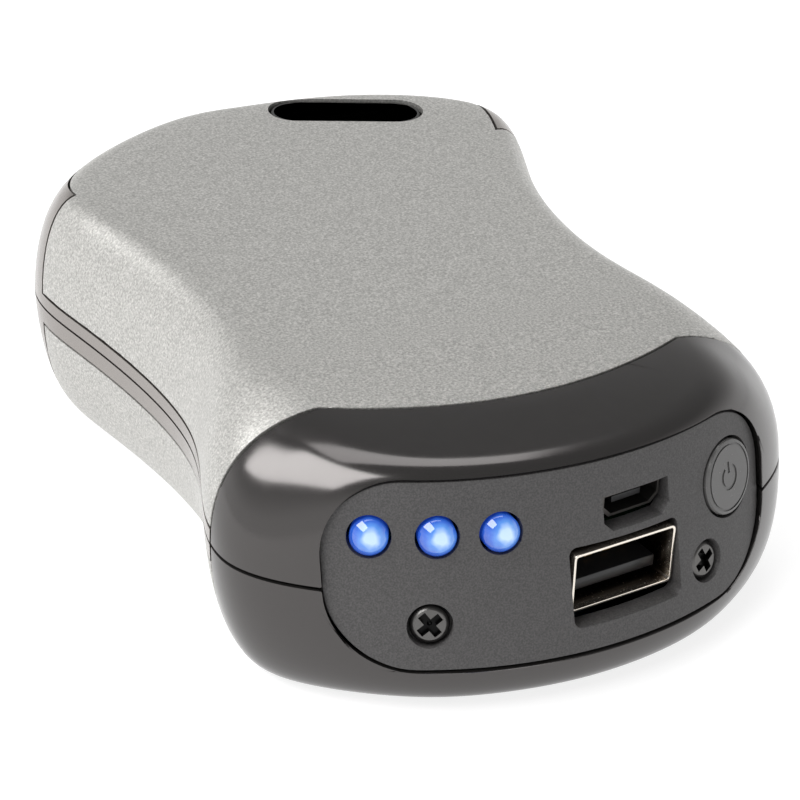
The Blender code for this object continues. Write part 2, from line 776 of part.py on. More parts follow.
def make_outlet(build):
    placed = port_frame(USB_A_X, USB_A_Z, USB_A_RECESS)
    middle = USB_A_LENGTH / 2
    outside = box((USB_A_WIDTH, USB_A_LENGTH, USB_A_HEIGHT), (0.0, middle, 0.0))
    shell = build.add("usb_a_shell", moved(outside, placed), "nickel")
    hollow = box((USB_A_WIDTH - 2 * USB_A_WALL, USB_A_LENGTH, USB_A_HEIGHT - 2 * USB_A_WALL),
                 (0.0, middle - USB_A_WALL, 0.0))
    cut(shell, build.add("usb_a_hollow", moved(hollow, placed)))
    back = USB_A_LENGTH - USB_A_WALL - FIT_GAP
    plate = box((USB_A_TONGUE_WIDTH, back - USB_A_TONGUE_RECESS, USB_A_TONGUE_HEIGHT),
                (0.0, (USB_A_TONGUE_RECESS + back) / 2, -USB_A_TONGUE_DROP))
    tongue = build.add("usb_a_tongue", moved(plate, placed), "gloss_black")
    clear = 2 * (USB_A_WALL + FIT_GAP)
    block = box((USB_A_WIDTH - clear, USB_A_BLOCK_LENGTH, USB_A_HEIGHT - clear),
                (0.0, back - USB_A_BLOCK_LENGTH / 2, 0.0))
    cut(tongue, build.add("usb_a_block", moved(block, placed)), "UNION")
    contact_front = USB_A_TONGUE_RECESS + CONTACT_SET_BACK
    contact_back = back - USB_A_BLOCK_LENGTH - FIT_GAP
    height = (USB_A_TONGUE_HEIGHT + CONTACT_THICKNESS) / 2 + FIT_GAP - USB_A_TONGUE_DROP
    for i in range(4):
        contact = box((CONTACT_WIDTH, contact_back - contact_front, CONTACT_THICKNESS),
                      ((i - 1.5) * CONTACT_PITCH, (contact_front + contact_back) / 2, height))
        build.add("usb_a_contact_" + str(i + 1), moved(contact, placed), "gold")


def make_inlet(build):
    placed = port_frame(MICRO_X, MICRO_Z, MICRO_RECESS)
    outside = prism(micro_outline(0.0), "Y", 0.0, MICRO_LENGTH)
    shell = build.add("micro_usb_shell", moved(outside, placed), "nickel")
    hollow = prism(micro_outline(-MICRO_WALL), "Y", -FIT_GAP, MICRO_LENGTH - MICRO_WALL)
    cut(shell, build.add("micro_usb_hollow", moved(hollow, placed)))
    back = MICRO_LENGTH - MICRO_WALL - FIT_GAP
    plate = box((MICRO_TONGUE_WIDTH, back - MICRO_TONGUE_RECESS, MICRO_TONGUE_HEIGHT),
                (0.0, (MICRO_TONGUE_RECESS + back) / 2, 0.0))
    tongue = build.add("micro_usb_tongue", moved(plate, placed), "matt_black")
    block = prism(micro_outline(-MICRO_WALL - FIT_GAP), "Y", back - MICRO_BLOCK_LENGTH, back)
    cut(tongue, build.add("micro_usb_block", moved(block, placed)), "UNION")
    low = BOARD_TOP + FIT_GAP - MICRO_Z
    high = -MICRO_HEIGHT / 2 - FIT_GAP
    stand = box((STAND_WIDTH, STAND_LENGTH, high - low),
                (0.0, MICRO_LENGTH - STAND_LENGTH / 2, (low + high) / 2))
    build.add("micro_usb_stand", moved(stand, placed), "white_plastic")


def switch_box(grow, reach):
    """The switch body behind the button, or room round it that reaches further forward."""
    front = BUTTON_SWITCH_FRONT - grow - reach
    back = BUTTON_SWITCH_FRONT + SWITCH_DEPTH + grow
    centre = panel_place(BUTTON_X, BUTTON_Z, (front + back) / 2)
    return box((SWITCH_WIDTH + 2 * grow, back - front, SWITCH_HEIGHT + 2 * grow), centre,
               panel_frame(BUTTON_X))


def make_button(build):
    inward = panel_inward(BUTTON_X)
    radius = BUTTON_DIAMETER / 2
    stem = BUTTON_STEM_DIAMETER / 2
    back = BUTTON_THICKNESS - BUTTON_PROUD
    profile = [(0, -BUTTON_PROUD), (radius - BUTTON_PROUD, -BUTTON_PROUD), (radius, 0.0),
               (radius, back), (stem, back), (stem, back + BUTTON_STEM_LENGTH),
               (0, back + BUTTON_STEM_LENGTH)]
    build.add("power_button", turned(profile, panel_place(BUTTON_X, BUTTON_Z), inward, ARC_SIDES),
              "button_grey")
    plunger = rod(PLUNGER_DIAMETER, PLUNGER_LENGTH,
                  panel_place(BUTTON_X, BUTTON_Z, PLUNGER_FRONT), inward)
    build.add("switch_plunger", plunger, "white_plastic")
    switch = build.add("button_switch", switch_box(0.0, 0.0), "matt_black")
    depth = PLUNGER_ENTRY + BUTTON_TRAVEL + FIT_GAP
    bore = rod(PLUNGER_DIAMETER + 2 * FIT_GAP, 2 * depth,
               panel_place(BUTTON_X, BUTTON_Z, BUTTON_SWITCH_FRONT - depth), inward)
    cut(switch, build.add("switch_bore", bore))


def make_lights(build):
    dome = [(0, -LED_PROUD)]
    rings = 4
    for step in range(1, rings + 1):
        angle = math.pi / 2 * step / rings
        dome.append((LED_DIAMETER / 2 * math.sin(angle), -LED_PROUD * math.cos(angle)))
    stem = LED_STEM_DIAMETER / 2
    profile = dome + [(LED_DIAMETER / 2, LED_FLANGE), (stem, LED_FLANGE), (stem, LED_DEPTH),
                      (0, LED_DEPTH)]
    for label, x in LED_PLACES:
        lens = turned(profile, panel_place(x, LED_Z), panel_inward(x))
        build.add("led_lens_" + label, lens, "blue_lens")
        spot = panel_place(x, LED_Z, LED_DEPTH + FIT_GAP + LED_CHIP_DEPTH / 2)
        turn = Matrix.Rotation(math.asin(x / PORT_END_RADIUS), 4, "Z")
        chip = box((LED_CHIP_WIDTH, LED_CHIP_DEPTH, LED_CHIP_HEIGHT),
                   (spot.x, spot.y, BOARD_TOP + FIT_GAP + LED_CHIP_HEIGHT / 2), turn)
        build.add("led_chip_" + label, chip, "white_plastic")


def make_board(build):
    """Board over the outlet, with its front edge round like the panel."""
    centre = PORT_END_RADIUS + BOARD_TOP * math.tan(PORT_LEAN)
    radius = PORT_END_RADIUS - BOARD_SET_BACK
    outline = [(BOARD_HALF_WIDTH, BULKHEAD_FACE - FIT_GAP),
               (-BOARD_HALF_WIDTH, BULKHEAD_FACE - FIT_GAP)]
    steps = 12
    for step in range(steps + 1):
        x = BOARD_HALF_WIDTH * (2 * step / steps - 1)
        outline.append((x, centre - math.sqrt(radius * radius - x * x)))
    board = build.add("circuit_board", prism(outline, "Z", BOARD_BOTTOM, BOARD_TOP), "board_green")
    cut(board, build.add("switch_room", switch_box(FIT_GAP, OVERRUN / 4)))


def make_screws(build, caps):
    """Screws through the panel into bosses that stand on the lower half of the cap."""
    head = SCREW_HEAD_DIAMETER / 2
    shank = SCREW_SHANK_DIAMETER / 2
    under = SCREW_SINK + SCREW_HEAD_HEIGHT
    profile = [(0, SCREW_SINK), (0.8 * head, SCREW_SINK), (head, SCREW_SINK + 0.3 * SCREW_HEAD_HEIGHT),
               (head, under), (shank, under), (shank, SCREW_SINK + SCREW_LENGTH - shank),
               (0, SCREW_SINK + SCREW_LENGTH)]
    start = PANEL_WALL + FIT_GAP
    for label, side in SIDES:
        x = side * SCREW_X
        place = panel_place(x, SCREW_Z)
        inward = panel_inward(x)
        screw = build.add("panel_screw_" + label, turned(profile, place, inward), "dark_steel")
        for arm, size in (("a", (CROSS_LENGTH, 2 * CROSS_DEPTH, CROSS_WIDTH)),
                          ("b", (CROSS_WIDTH, 2 * CROSS_DEPTH, CROSS_LENGTH))):
            recess = box(size, panel_place(x, SCREW_Z, SCREW_SINK), panel_frame(x))
            cut(screw, build.add("cross_" + label + "_" + arm, recess))
        boss = rod(BOSS_DIAMETER, BOSS_LENGTH, panel_place(x, SCREW_Z, start), inward)
        cut(caps["end_cap_lower"], build.add("boss_" + label, boss), "UNION")
        middle = panel_place(x, SCREW_Z, start + BOSS_LENGTH / 2)
        floor = -BODY_HALF_THICKNESS + CAP_WALL / 2
        web = box((BOSS_WEB, 0.8 * BOSS_LENGTH, middle.z - floor),
                  (middle.x, middle.y, (middle.z + floor) / 2),
                  Matrix.Rotation(math.asin(x / PORT_END_RADIUS), 4, "Z"))
        cut(caps["end_cap_lower"], build.add("boss_web_" + label, web), "UNION")
        bore = rod(SCREW_SHANK_DIAMETER + 2 * FIT_GAP, OVERRUN / 2, panel_place(x, SCREW_Z, 0.0),
                   inward)
        cut(caps["end_cap_lower"], build.add("boss_bore_" + label, bore))


def cell_places():
    offset = (CELL_DIAMETER + FIT_GAP) / 2
    return (("left", CELL_SHIFT - offset), ("right", CELL_SHIFT + offset))


def make_cells(build):
    radius = CELL_DIAMETER / 2
    profile = [(0, 0.0), (radius - CELL_BEVEL, 0.0), (radius, CELL_BEVEL),
               (radius, CELL_LENGTH - CELL_BEVEL), (radius - CELL_BEVEL, CELL_LENGTH),
               (0, CELL_LENGTH)]
    for label, x in cell_places():
        cell = turned(profile, (x, CELL_START, 0.0), (0.0, 1.0, 0.0), ARC_SIDES)
        build.add("battery_cell_" + label, cell, "cell_wrap")
    for label, y in (("front", CELL_START - FIT_GAP - STRIP_THICKNESS / 2),
                     ("rear", CELL_START + CELL_LENGTH + FIT_GAP + STRIP_THICKNESS / 2)):
        strip = box((STRIP_LENGTH, STRIP_THICKNESS, STRIP_WIDTH), (CELL_SHIFT, y, 0.0))
        build.add("cell_strip_" + label, strip, "nickel")


def make_seats(build, frame):
    """Bulkhead with a ledge for the board, and two cradles for the cells, on the lower frame."""
    floor = -BODY_HALF_THICKNESS + COVER_WALL + FIT_GAP + FRAME_WALL / 2
    wall = box((2 * BULKHEAD_HALF_WIDTH, BULKHEAD_WALL, BULKHEAD_TOP - floor),
               (0.0, BULKHEAD_FACE + BULKHEAD_WALL / 2, (BULKHEAD_TOP + floor) / 2))
    cut(frame, build.add("bulkhead", wall), "UNION")
    ledge_top = BOARD_BOTTOM - FIT_GAP
    ledge = box((2 * BULKHEAD_HALF_WIDTH, LEDGE_DEPTH + BULKHEAD_WALL / 2, LEDGE_HEIGHT),
                (0.0, BULKHEAD_FACE + (BULKHEAD_WALL / 2 - LEDGE_DEPTH) / 2,
                 ledge_top - LEDGE_HEIGHT / 2))
    cut(frame, build.add("board_ledge", ledge), "UNION")
    room = box((USB_A_WIDTH + 2 * FIT_GAP, USB_A_LENGTH + 2 * FIT_GAP, USB_A_HEIGHT + 2 * FIT_GAP),
               (0.0, USB_A_LENGTH / 2, 0.0))
    placed = port_frame(USB_A_X, USB_A_Z, USB_A_RECESS)
    cut(frame, build.add("outlet_room", moved(room, placed)))
    for label, y in (("near", CELL_START + CRADLE_NEAR_SET_IN),
                     ("far", CELL_START + CELL_LENGTH - CRADLE_FAR_SET_IN)):
        cradle = build.add("cradle_" + label, box((2 * CRADLE_HALF_WIDTH, CRADLE_WALL, CRADLE_RISE),
                                                  (CELL_SHIFT, y, floor + CRADLE_RISE / 2)))
        for end, x in cell_places():
            hollow = rod(CELL_DIAMETER + 2 * FIT_GAP, 3 * CRADLE_WALL,
                         (x, y - 1.5 * CRADLE_WALL, 0.0), (0.0, 1.0, 0.0), ARC_SIDES)
            cut(cradle, build.add("cradle_" + label + "_" + end, hollow))
        cut(frame, cradle, "UNION")


def make_heaters(build):
    middle = HEATER_START + HEATER_LENGTH / 2
    outline = rounded_rectangle(HEATER_HALF_WIDTH, HEATER_START, HEATER_START + HEATER_LENGTH,
                                HEATER_CORNER, 3)
    soft = rounded_rectangle(HEATER_HALF_WIDTH - PAD_MARGIN, HEATER_START + PAD_MARGIN,
                             HEATER_START + HEATER_LENGTH - PAD_MARGIN, HEATER_CORNER, 3)
    outer = BODY_HALF_THICKNESS - COVER_WALL - FIT_GAP
    pad = outer - HEATER_THICKNESS - FIT_GAP
    for label, side in (("front", 1.0), ("rear", -1.0)):
        levels = sorted((side * outer, side * (outer - HEATER_THICKNESS)))
        build.add(label + "_heater", prism(outline, "Z", *levels), "amber_film")
        levels = sorted((side * pad, side * (pad - PAD_THICKNESS)))
        build.add(label + "_pad", prism(soft, "Z", *levels), "grey_foam")
    top = pad - PAD_THICKNESS - FIT_GAP
    sensor = box((SENSOR_WIDTH, SENSOR_LENGTH, SENSOR_HEIGHT),
                 (CELL_SHIFT, HEATER_START + SENSOR_SET_IN, top - SENSOR_HEIGHT / 2))
    build.add("thermal_sensor", sensor, "matt_black")


def make_eyelet(build):
    reach = BODY_HALF_THICKNESS - EYELET_SINK
    eyelet = build.add("lanyard_eyelet", eyelet_prism(EYELET_WALL, -reach, reach), "matt_black")
    cut(eyelet, build.add("lanyard_slot", eyelet_prism(0.0, -OVERRUN, OVERRUN)))


def main():
    clear_scene()
    datum = bpy.data.objects.new("body_datum", None)
    collection(PARTS).objects.link(datum)
    build = Build(datum)
    outer = body_form(0.0)
    xs = [vert.co.x for vert in outer.verts]
    ys = [vert.co.y for vert in outer.verts]
    outer.free()
    datum.location = (-(min(xs) + max(xs)) / 2, -(min(ys) + max(ys)) / 2, BODY_HALF_THICKNESS)
    forms = {
        "cover_inside": build.add("cover_inside", body_form(COVER_WALL)),
        "cover_seat": build.add("cover_seat", body_form(COVER_WALL + FIT_GAP)),
        "frame_inside": build.add("frame_inside", body_form(COVER_WALL + FIT_GAP + FRAME_WALL)),
        "cap_inside": build.add("cap_inside", body_form(CAP_WALL)),
        "eyelet_hole": build.add("eyelet_hole", eyelet_prism(EYELET_WALL + FIT_GAP,
                                                             -OVERRUN, OVERRUN)),
        "panel_opening": build.add("panel_opening", prism(panel_outline(SEAM), "Y",
                                                          -OVERRUN, OVERRUN)),
    }
    make_covers(build, forms)
    frames = make_frames(build, forms)
    caps = make_caps(build, forms)
    make_panel(build)
    make_outlet(build)
    make_inlet(build)
    make_lights(build)
    make_button(build)
    make_board(build)
    make_screws(build, caps)
    make_cells(build)
    make_seats(build, frames["lower_frame"])
    make_heaters(build)
    make_eyelet(build)


main()
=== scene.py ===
"""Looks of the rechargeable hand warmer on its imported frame."""

import math

import bmesh
import bpy
import numpy as np
from mathutils import Matrix, Vector
from mathutils.bvhtree import BVHTree
from mathutils.interpolate import poly_3d_calc


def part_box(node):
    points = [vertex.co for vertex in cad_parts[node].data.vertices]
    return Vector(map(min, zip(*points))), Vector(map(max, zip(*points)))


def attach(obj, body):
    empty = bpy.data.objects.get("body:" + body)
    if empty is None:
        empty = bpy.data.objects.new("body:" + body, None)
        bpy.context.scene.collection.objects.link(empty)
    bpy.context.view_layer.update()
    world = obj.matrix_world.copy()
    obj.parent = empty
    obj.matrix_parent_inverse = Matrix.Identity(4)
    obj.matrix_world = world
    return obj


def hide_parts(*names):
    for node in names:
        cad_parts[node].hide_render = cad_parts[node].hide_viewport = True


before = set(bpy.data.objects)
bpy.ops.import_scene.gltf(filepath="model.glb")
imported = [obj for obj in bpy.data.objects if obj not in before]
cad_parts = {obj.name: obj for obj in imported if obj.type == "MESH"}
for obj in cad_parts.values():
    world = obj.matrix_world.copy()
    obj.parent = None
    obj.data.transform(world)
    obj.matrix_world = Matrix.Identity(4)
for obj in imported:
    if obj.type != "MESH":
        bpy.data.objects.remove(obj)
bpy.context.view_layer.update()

# Plan of the body
BODY_LENGTH = 0.1054
PORT_HALF_WIDTH = 0.0332
FLARE_HALF_WIDTH = 0.0322
WAIST_HALF_WIDTH = 0.0283
SHOULDER_HALF_WIDTH = 0.0311
PORT_END_RADIUS = 0.0466
PORT_ARC_SHARES = (0.0, 0.35, 0.65)
PORT_WIDEST_SET_BACK = 0.0011
FLARE_SHARE = 0.243
WAIST_SHARE = 0.375
SHOULDER_SHARE = 0.656
FAR_LEFT_SHARES = ((1.020, 0.801), (0.505, 0.957))
FAR_RIGHT_SHARES = ((1.130, 0.863), (0.600, 0.982))
APEX_SHARE = -0.04

# Section
BODY_HALF_THICKNESS = 0.01435
NOSE_DROP = 0.0016
NOSE_LIFT = 0.0012
NOSE_DROP_LENGTH = 0.0395
WAIST_ROLL = 0.0063
FAR_ROLL = 0.0052
FLANK_ROLL = 0.0074
FLANK_ROLL_PLACE = 0.0153
FLANK_ROLL_SPREAD = 0.0108
ROLL_POWER = 2.25
NOSE_POWER_ABOVE = 5.0
NOSE_POWER_BELOW = 0.8
NOSE_POWER_FADE = 0.0065
EASE_SHARE = 0.08
PORT_LEAN = math.radians(14.0)
FAR_TAPER = math.radians(15.0)

# Covers, frames and caps
COVER_WALL = 0.0008
COVER_SHOULDER_FROM_END = 0.0269
COVER_SHOULDER = BODY_LENGTH - COVER_SHOULDER_FROM_END
COVER_INSET = 0.0048
COVER_ROUND = 0.00012
FIT_GAP = 0.0003
SEAM = 0.0003
BAND_RISE = 0.0020
BAND_DROP = 0.0025
FRAME_WALL = 0.0014
CAP_WALL = 0.0016
CAP_EDGE = 0.0146
CAP_SIDE_SET_BACK = 0.0059
CAP_EDGE_SIDE = (PORT_END_RADIUS - math.sqrt(PORT_END_RADIUS**2 - PORT_HALF_WIDTH**2)
                 + CAP_SIDE_SET_BACK)
CAP_ROUND = 0.00020
LIP = 0.0009

# Port panel
PANEL_HALF_WIDTH = 0.0260
PANEL_TOP = 0.0113
PANEL_BOTTOM = 0.0084
PANEL_CORNER = 0.0080
PANEL_WALL = 0.0022
PANEL_ROUND = 0.00010
PANEL_SINE_LIMIT = 0.9

# Power outlet
USB_A_X = 0.0055
USB_A_Z = -0.0015
USB_A_WIDTH = 0.0131
USB_A_HEIGHT = 0.0070
USB_A_LENGTH = 0.0140
USB_A_WALL = 0.0003
USB_A_RECESS = 0.0012
USB_A_MARGIN = 0.0008
USB_A_SIDE_MARGIN = 0.0004
USB_A_CORNER = 0.0009
USB_A_TONGUE_WIDTH = 0.0111
USB_A_TONGUE_HEIGHT = 0.0014
USB_A_TONGUE_RECESS = 0.0019
USB_A_TONGUE_DROP = 0.0016
USB_A_BLOCK_LENGTH = 0.0025
SHELL_CORNER = 0.0006
SHELL_ROUND = 0.00006
TONGUE_ROUND = 0.00018

# Charging inlet
MICRO_X = 0.0070
MICRO_Z = 0.0055
MICRO_WIDTH = 0.0076
MICRO_HEIGHT = 0.0028
MICRO_MARGIN = 0.0005
MICRO_CHAMFER = 0.0010

# Lights
LED_X = (-0.0216, -0.0152, -0.0088)
LED_Z = 0.0056
LED_DIAMETER = 0.0040
LED_PROUD = 0.0011
LED_STEM_DIAMETER = 0.0022
LED_FLANGE = 0.0016
LED_DEPTH = 0.0040

# Power button
BUTTON_X = 0.0205
BUTTON_Z = 0.0039
BUTTON_DIAMETER = 0.0084
BUTTON_PROUD = 0.0002
BUTTON_THICKNESS = 0.0016
BUTTON_STEM_DIAMETER = 0.0030
BUTTON_STEM_LENGTH = 0.0020
BUTTON_EDGE_SHARE = 0.045
RING_DIAMETER = 0.0073
MARK_DIAMETER = 0.0026
MARK_RING_SHARE = 0.82
MARK_BAR_SHARE = 0.5
MARK_BAR_RISE_SHARE = 0.42
ENGRAVING = 0.00012

# Panel screws
SCREW_X = 0.0165
SCREW_Z = -0.0037
SCREW_HEAD_DIAMETER = 0.0042
SCREW_HEAD_HEIGHT = 0.0010
SCREW_SHANK_DIAMETER = 0.0020
SCREW_LENGTH = 0.0058
SCREW_SINK = 0.0003
SCREW_TURNS = (40.0, 24.0)
SCREW_EDGE_SHARE = 0.12
SCREW_FLAT_SHARE = 0.78
CROSS_LENGTH = 0.0028
RECESS_WIDTH = 0.0009
RECESS_DEPTH = 0.0007
RECESS_POINT = 0.0012

# Lanyard eyelet
EYELET_X = 0.0136
EYELET_FROM_END = 0.0140
EYELET_ANGLE = math.radians(-22.0)
EYELET_LENGTH = 0.0184
EYELET_WIDTH = 0.0056
EYELET_WALL = 0.0007
EYELET_SINK = 0.0003
EYELET_ROUND = 0.00045

# Depths at which the looks change: the LEDs' glow, and the painted shade inside the outlet and on
# the screw heads
LENS_REACH = 0.0026
LENS_GLOW_SHIFT = (-0.10, -0.05, -0.42)
LENS_CLOUD_SHARE = 0.35
OUTLET_SHADE_START = 0.0004
OUTLET_SHADE_END = 0.0022
HEAD_SHADE_START = 0.0003
HEAD_SHADE_END = 0.0005

# Fineness
LOOP_POINTS = 264
SAMPLES_PER_POINT = 30
KNOT_POWER = 0.7
ROLL_STEPS = 14
TOP_STEPS = 8
CURVATURE_WEIGHT = 0.010
WALL_COLUMNS = 90
CAP_ARC_STEPS = 60
DOME_STEPS = 16
GROOVE_STEPS = 96
BUTTON_SIDES = 128
BUTTON_BORE_SIDES = 96
RECESS_SIDES = 24
WELD = FIT_GAP / 30
FRAME_WELD = 0.00003
PANEL_WELD = 0.00006
SKIN_WELD = 0.00010
SKIN_REACH = 0.00007
SKIN_LIKENESS = 0.6
PANEL_REACH = 0.00004
PANEL_LIKENESS = 0.9
OVERRUN = 0.0200

# Floor, light and camera; azimuth 0 lies in front of the panel, 90 to its right
FLOOR_SIZE = 3.0
FLOOR_DROP = 0.00005
FLOOR_COLOUR = (0.30, 0.30, 0.30)
FLOOR_GLOW = 0.80
SURROUND_TONES = ((0.0, 1.0), (1.0, 0.25), (0.17, 0.98), (0.42, 0.52), (0.60, 0.24))
SURROUND_STRENGTH = 1.15
LIGHT_DISTANCE = 0.8
KEY_AZIMUTH = -88
KEY_ELEVATION = 50
KEY_SIZE = (0.85, 0.45)
KEY_POWER = 8.7
TOP_AZIMUTH = 170
TOP_ELEVATION = 74
TOP_SIZE = (0.6, 0.4)
TOP_POWER = 2.1
CAMERA_PLACE = (-0.11439, -0.18728, 0.13956)
CAMERA_YAW = 0.4585
CAMERA_PITCH = 0.5021
CAMERA_ROLL = 0.0377
CAMERA_START = 0.01
SENSOR_WIDTH = 36.0
PICTURE_WIDTH = 800.0
FOCAL_PIXELS = 2505.0

# The datum lies where the parting plane meets the middle of the panel's face
eyelet_low, eyelet_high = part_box("lanyard_eyelet")
DATUM = Vector(((eyelet_low.x + eyelet_high.x) / 2 - EYELET_X,
                (eyelet_low.y + eyelet_high.y) / 2 - BODY_LENGTH + EYELET_FROM_END,
                (eyelet_low.z + eyelet_high.z) / 2))


# Plan outline

def arc_sag(x, radius):
    """How far the port end's arc has fallen back at x."""
    return radius - math.sqrt(radius * radius - x * x)


def plan_points(side):
    """The few points that one side of the plan runs through, from the port end back."""
    points = []
    for share in PORT_ARC_SHARES:
        x = share * PORT_HALF_WIDTH
        points.append((x, arc_sag(x, PORT_END_RADIUS) - LIP))
    points.append((PORT_HALF_WIDTH,
                   arc_sag(PORT_HALF_WIDTH, PORT_END_RADIUS) + PORT_WIDEST_SET_BACK))
    points.append((FLARE_HALF_WIDTH, FLARE_SHARE * BODY_LENGTH))
    points.append((WAIST_HALF_WIDTH, WAIST_SHARE * BODY_LENGTH))
    points.append((SHOULDER_HALF_WIDTH, SHOULDER_SHARE * BODY_LENGTH))
    for across_share, along_share in FAR_RIGHT_SHARES if side > 0 else FAR_LEFT_SHARES:
        points.append((across_share * SHOULDER_HALF_WIDTH, along_share * BODY_LENGTH))
    points.append((side * APEX_SHARE * SHOULDER_HALF_WIDTH, BODY_LENGTH))
    return np.array(points)


def smooth_curve(points, samples):
    """A curve through the points, with its directions; both ends run square to the middle."""
    steps = np.linalg.norm(np.diff(points, axis=0), axis=1) ** KNOT_POWER
    knots = np.concatenate([[0.0], np.cumsum(steps)])
    count = len(points)
    system = np.zeros((count, count))
    right = np.zeros((count, 2))
    system[0, 0] = 1.0
    right[0] = (np.linalg.norm(points[1] - points[0]) / steps[0], 0.0)
    system[-1, -1] = 1.0
    right[-1] = (-np.linalg.norm(points[-1] - points[-2]) / steps[-1], 0.0)
    for i in range(1, count - 1):
        before, after = steps[i - 1], steps[i]
        system[i, i - 1] = after
        system[i, i] = 2 * (before + after)
        system[i, i + 1] = before
        right[i] = 3 * (after * (points[i] - points[i - 1]) / before
                        + before * (points[i + 1] - points[i]) / after)
    slopes = np.linalg.solve(system, right)
    places = []
    directions = []
    for value in np.linspace(0.0, knots[-1], samples):
        i = min(int(np.searchsorted(knots, value, side="right")) - 1, count - 2)
        span = steps[i]
        t = (value - knots[i]) / span
        start, end = points[i], points[i + 1]
        leave, arrive = slopes[i] * span, slopes[i + 1] * span
        places.append((2 * t**3 - 3 * t**2 + 1) * start + (t**3 - 2 * t**2 + t) * leave
                      + (3 * t**2 - 2 * t**3) * end + (t**3 - t**2) * arrive)
        directions.append(((6 * t**2 - 6 * t) * start + (3 * t**2 - 4 * t + 1) * leave
                           + (6 * t - 6 * t**2) * end + (3 * t**2 - 2 * t) * arrive))
    directions = np.array(directions)
    return np.array(places), directions / np.linalg.norm(directions, axis=1)[:, None]


def plan_side(side):
    """Places and inward directions along one side, closer together where the plan bends."""
    places, directions = smooth_curve(plan_points(side), SAMPLES_PER_POINT * LOOP_POINTS)
    headings = np.unwrap(np.arctan2(directions[:, 1], directions[:, 0]))
    lengths = np.linalg.norm(np.diff(places, axis=0), axis=1)
    weights = lengths + CURVATURE_WEIGHT * np.abs(np.diff(headings))
    along = np.concatenate([[0.0], np.cumsum(weights)])
    picks = [int(np.argmin(np.abs(along - value)))
             for value in np.linspace(0.0, along[-1], LOOP_POINTS // 2 + 1)]
    line = [(Vector((side * places[k][0], places[k][1])),
             Vector((-side * directions[k][1], directions[k][0]))) for k in picks]
    line[0] = (line[0][0], Vector((0.0, 1.0)))
    line[-1] = (line[-1][0], Vector((0.0, -1.0)))
    return line


PLAN = plan_side(1.0) + plan_side(-1.0)[-2:0:-1]


# Rolled surface

def half_thickness(y, upper):
    """The nose droops above and lifts below towards the port end."""
    ahead = max(0.0, 1.0 - y / NOSE_DROP_LENGTH)
    return BODY_HALF_THICKNESS - (NOSE_DROP if upper else NOSE_LIFT) * ahead * ahead


def roll_width(y, upper):
    share = min(max(y / BODY_LENGTH, 0.0), 1.0)
    roll = WAIST_ROLL + (FAR_ROLL - WAIST_ROLL) * share
    if upper:
        roll += FLANK_ROLL * math.exp(-((y - FLANK_ROLL_PLACE) / FLANK_ROLL_SPREAD) ** 2)
    return roll


def roll_power(y, upper):
    extra = NOSE_POWER_ABOVE if upper else NOSE_POWER_BELOW
    return ROLL_POWER + extra * math.exp(-(y / NOSE_POWER_FADE) ** 2)


def lean_shift(y, z):
    """The port face leans back, and the far end tapers off above and below."""
    far_share = min(max(y / BODY_LENGTH, 0.0), 1.0)
    port_share = 1.0 - far_share
    return (z * math.tan(PORT_LEAN) * port_share**2
            - abs(z) * math.tan(FAR_TAPER) * far_share**2)


def eased_normals():
    """Inward directions averaged over their neighbours, so that a wide roll does not fold."""
    reach = round(LOOP_POINTS * EASE_SHARE)
    eased = []
    for i in range(LOOP_POINTS):
        total = Vector((0.0, 0.0))
        for step in range(-reach, reach + 1):
            total += PLAN[(i + step) % LOOP_POINTS][1]
        eased.append(total.normalized())
    return eased


EASED = eased_normals()


def skin_loops(offset, upper):
    """Rings over one half of the skin, from the parting plane to the middle."""
    side = 1.0 if upper else -1.0
    loops = []
    for step in range(ROLL_STEPS + 1):
        angle = math.pi / 2 * step / ROLL_STEPS
        ring = []
        for (place, inward), ease in zip(PLAN, EASED):
            roll = roll_width(place.y, upper) - offset
            power = roll_power(place.y, upper)
            inset = roll * (1.0 - math.cos(angle) ** (2 / power))
            flat = place + inward * offset + ease * inset
            rise = (half_thickness(flat.y, upper) - offset) * math.sin(angle) ** (2 / power)
            ring.append(Vector((flat.x, flat.y + lean_shift(flat.y, side * rise), side * rise)))
        loops.append(ring)
    rim = loops[-1]
    low = min(point.y for point in rim)
    high = max(point.y for point in rim)
    for step in range(1, TOP_STEPS + 1):
        blend = step / TOP_STEPS
        ring = []
        for i, point in enumerate(rim):
            along = 2 * min(i, LOOP_POINTS - i) / LOOP_POINTS
            middle = Vector((0.0, low + (high - low) * (1 + 2 * along) / 4, 0.0))
            flat = point.lerp(middle, blend)
            flat.z = side * (half_thickness(flat.y, upper) - offset)
            ring.append(flat)
        loops.append(ring)
    return loops


def body_form(offset):
    """The whole body, closed, with its skin moved inward by the offset."""
    below = skin_loops(offset, False)
    above = skin_loops(offset, True)
    rings = below[:0:-1] + above
    data = bmesh.new()
    rows = [[data.verts.new(point) for point in ring] for ring in rings]
    for lower, upper in zip(rows, rows[1:]):
        for i in range(LOOP_POINTS):
            j = (i + 1) % LOOP_POINTS
            data.faces.new((lower[i], lower[j], upper[j], upper[i]))
    bmesh.ops.remove_doubles(data, verts=data.verts, dist=WELD)
    bmesh.ops.recalc_face_normals(data, faces=data.faces)
    return data


# Plain forms

def prism(outline, direction, low, high):
    data = bmesh.new()
    ends = []
    for level in (low, high):
        if direction == "Z":
            ends.append([data.verts.new((a, b, level)) for a, b in outline])
        else:
            ends.append([data.verts.new((a, level, b)) for a, b in outline])
    count = len(outline)
    data.faces.new(ends[0])
    data.faces.new(ends[1])
    for i in range(count):
        j = (i + 1) % count
        data.faces.new((ends[0][i], ends[0][j], ends[1][j], ends[1][i]))
    bmesh.ops.recalc_face_normals(data, faces=data.faces)
    return data


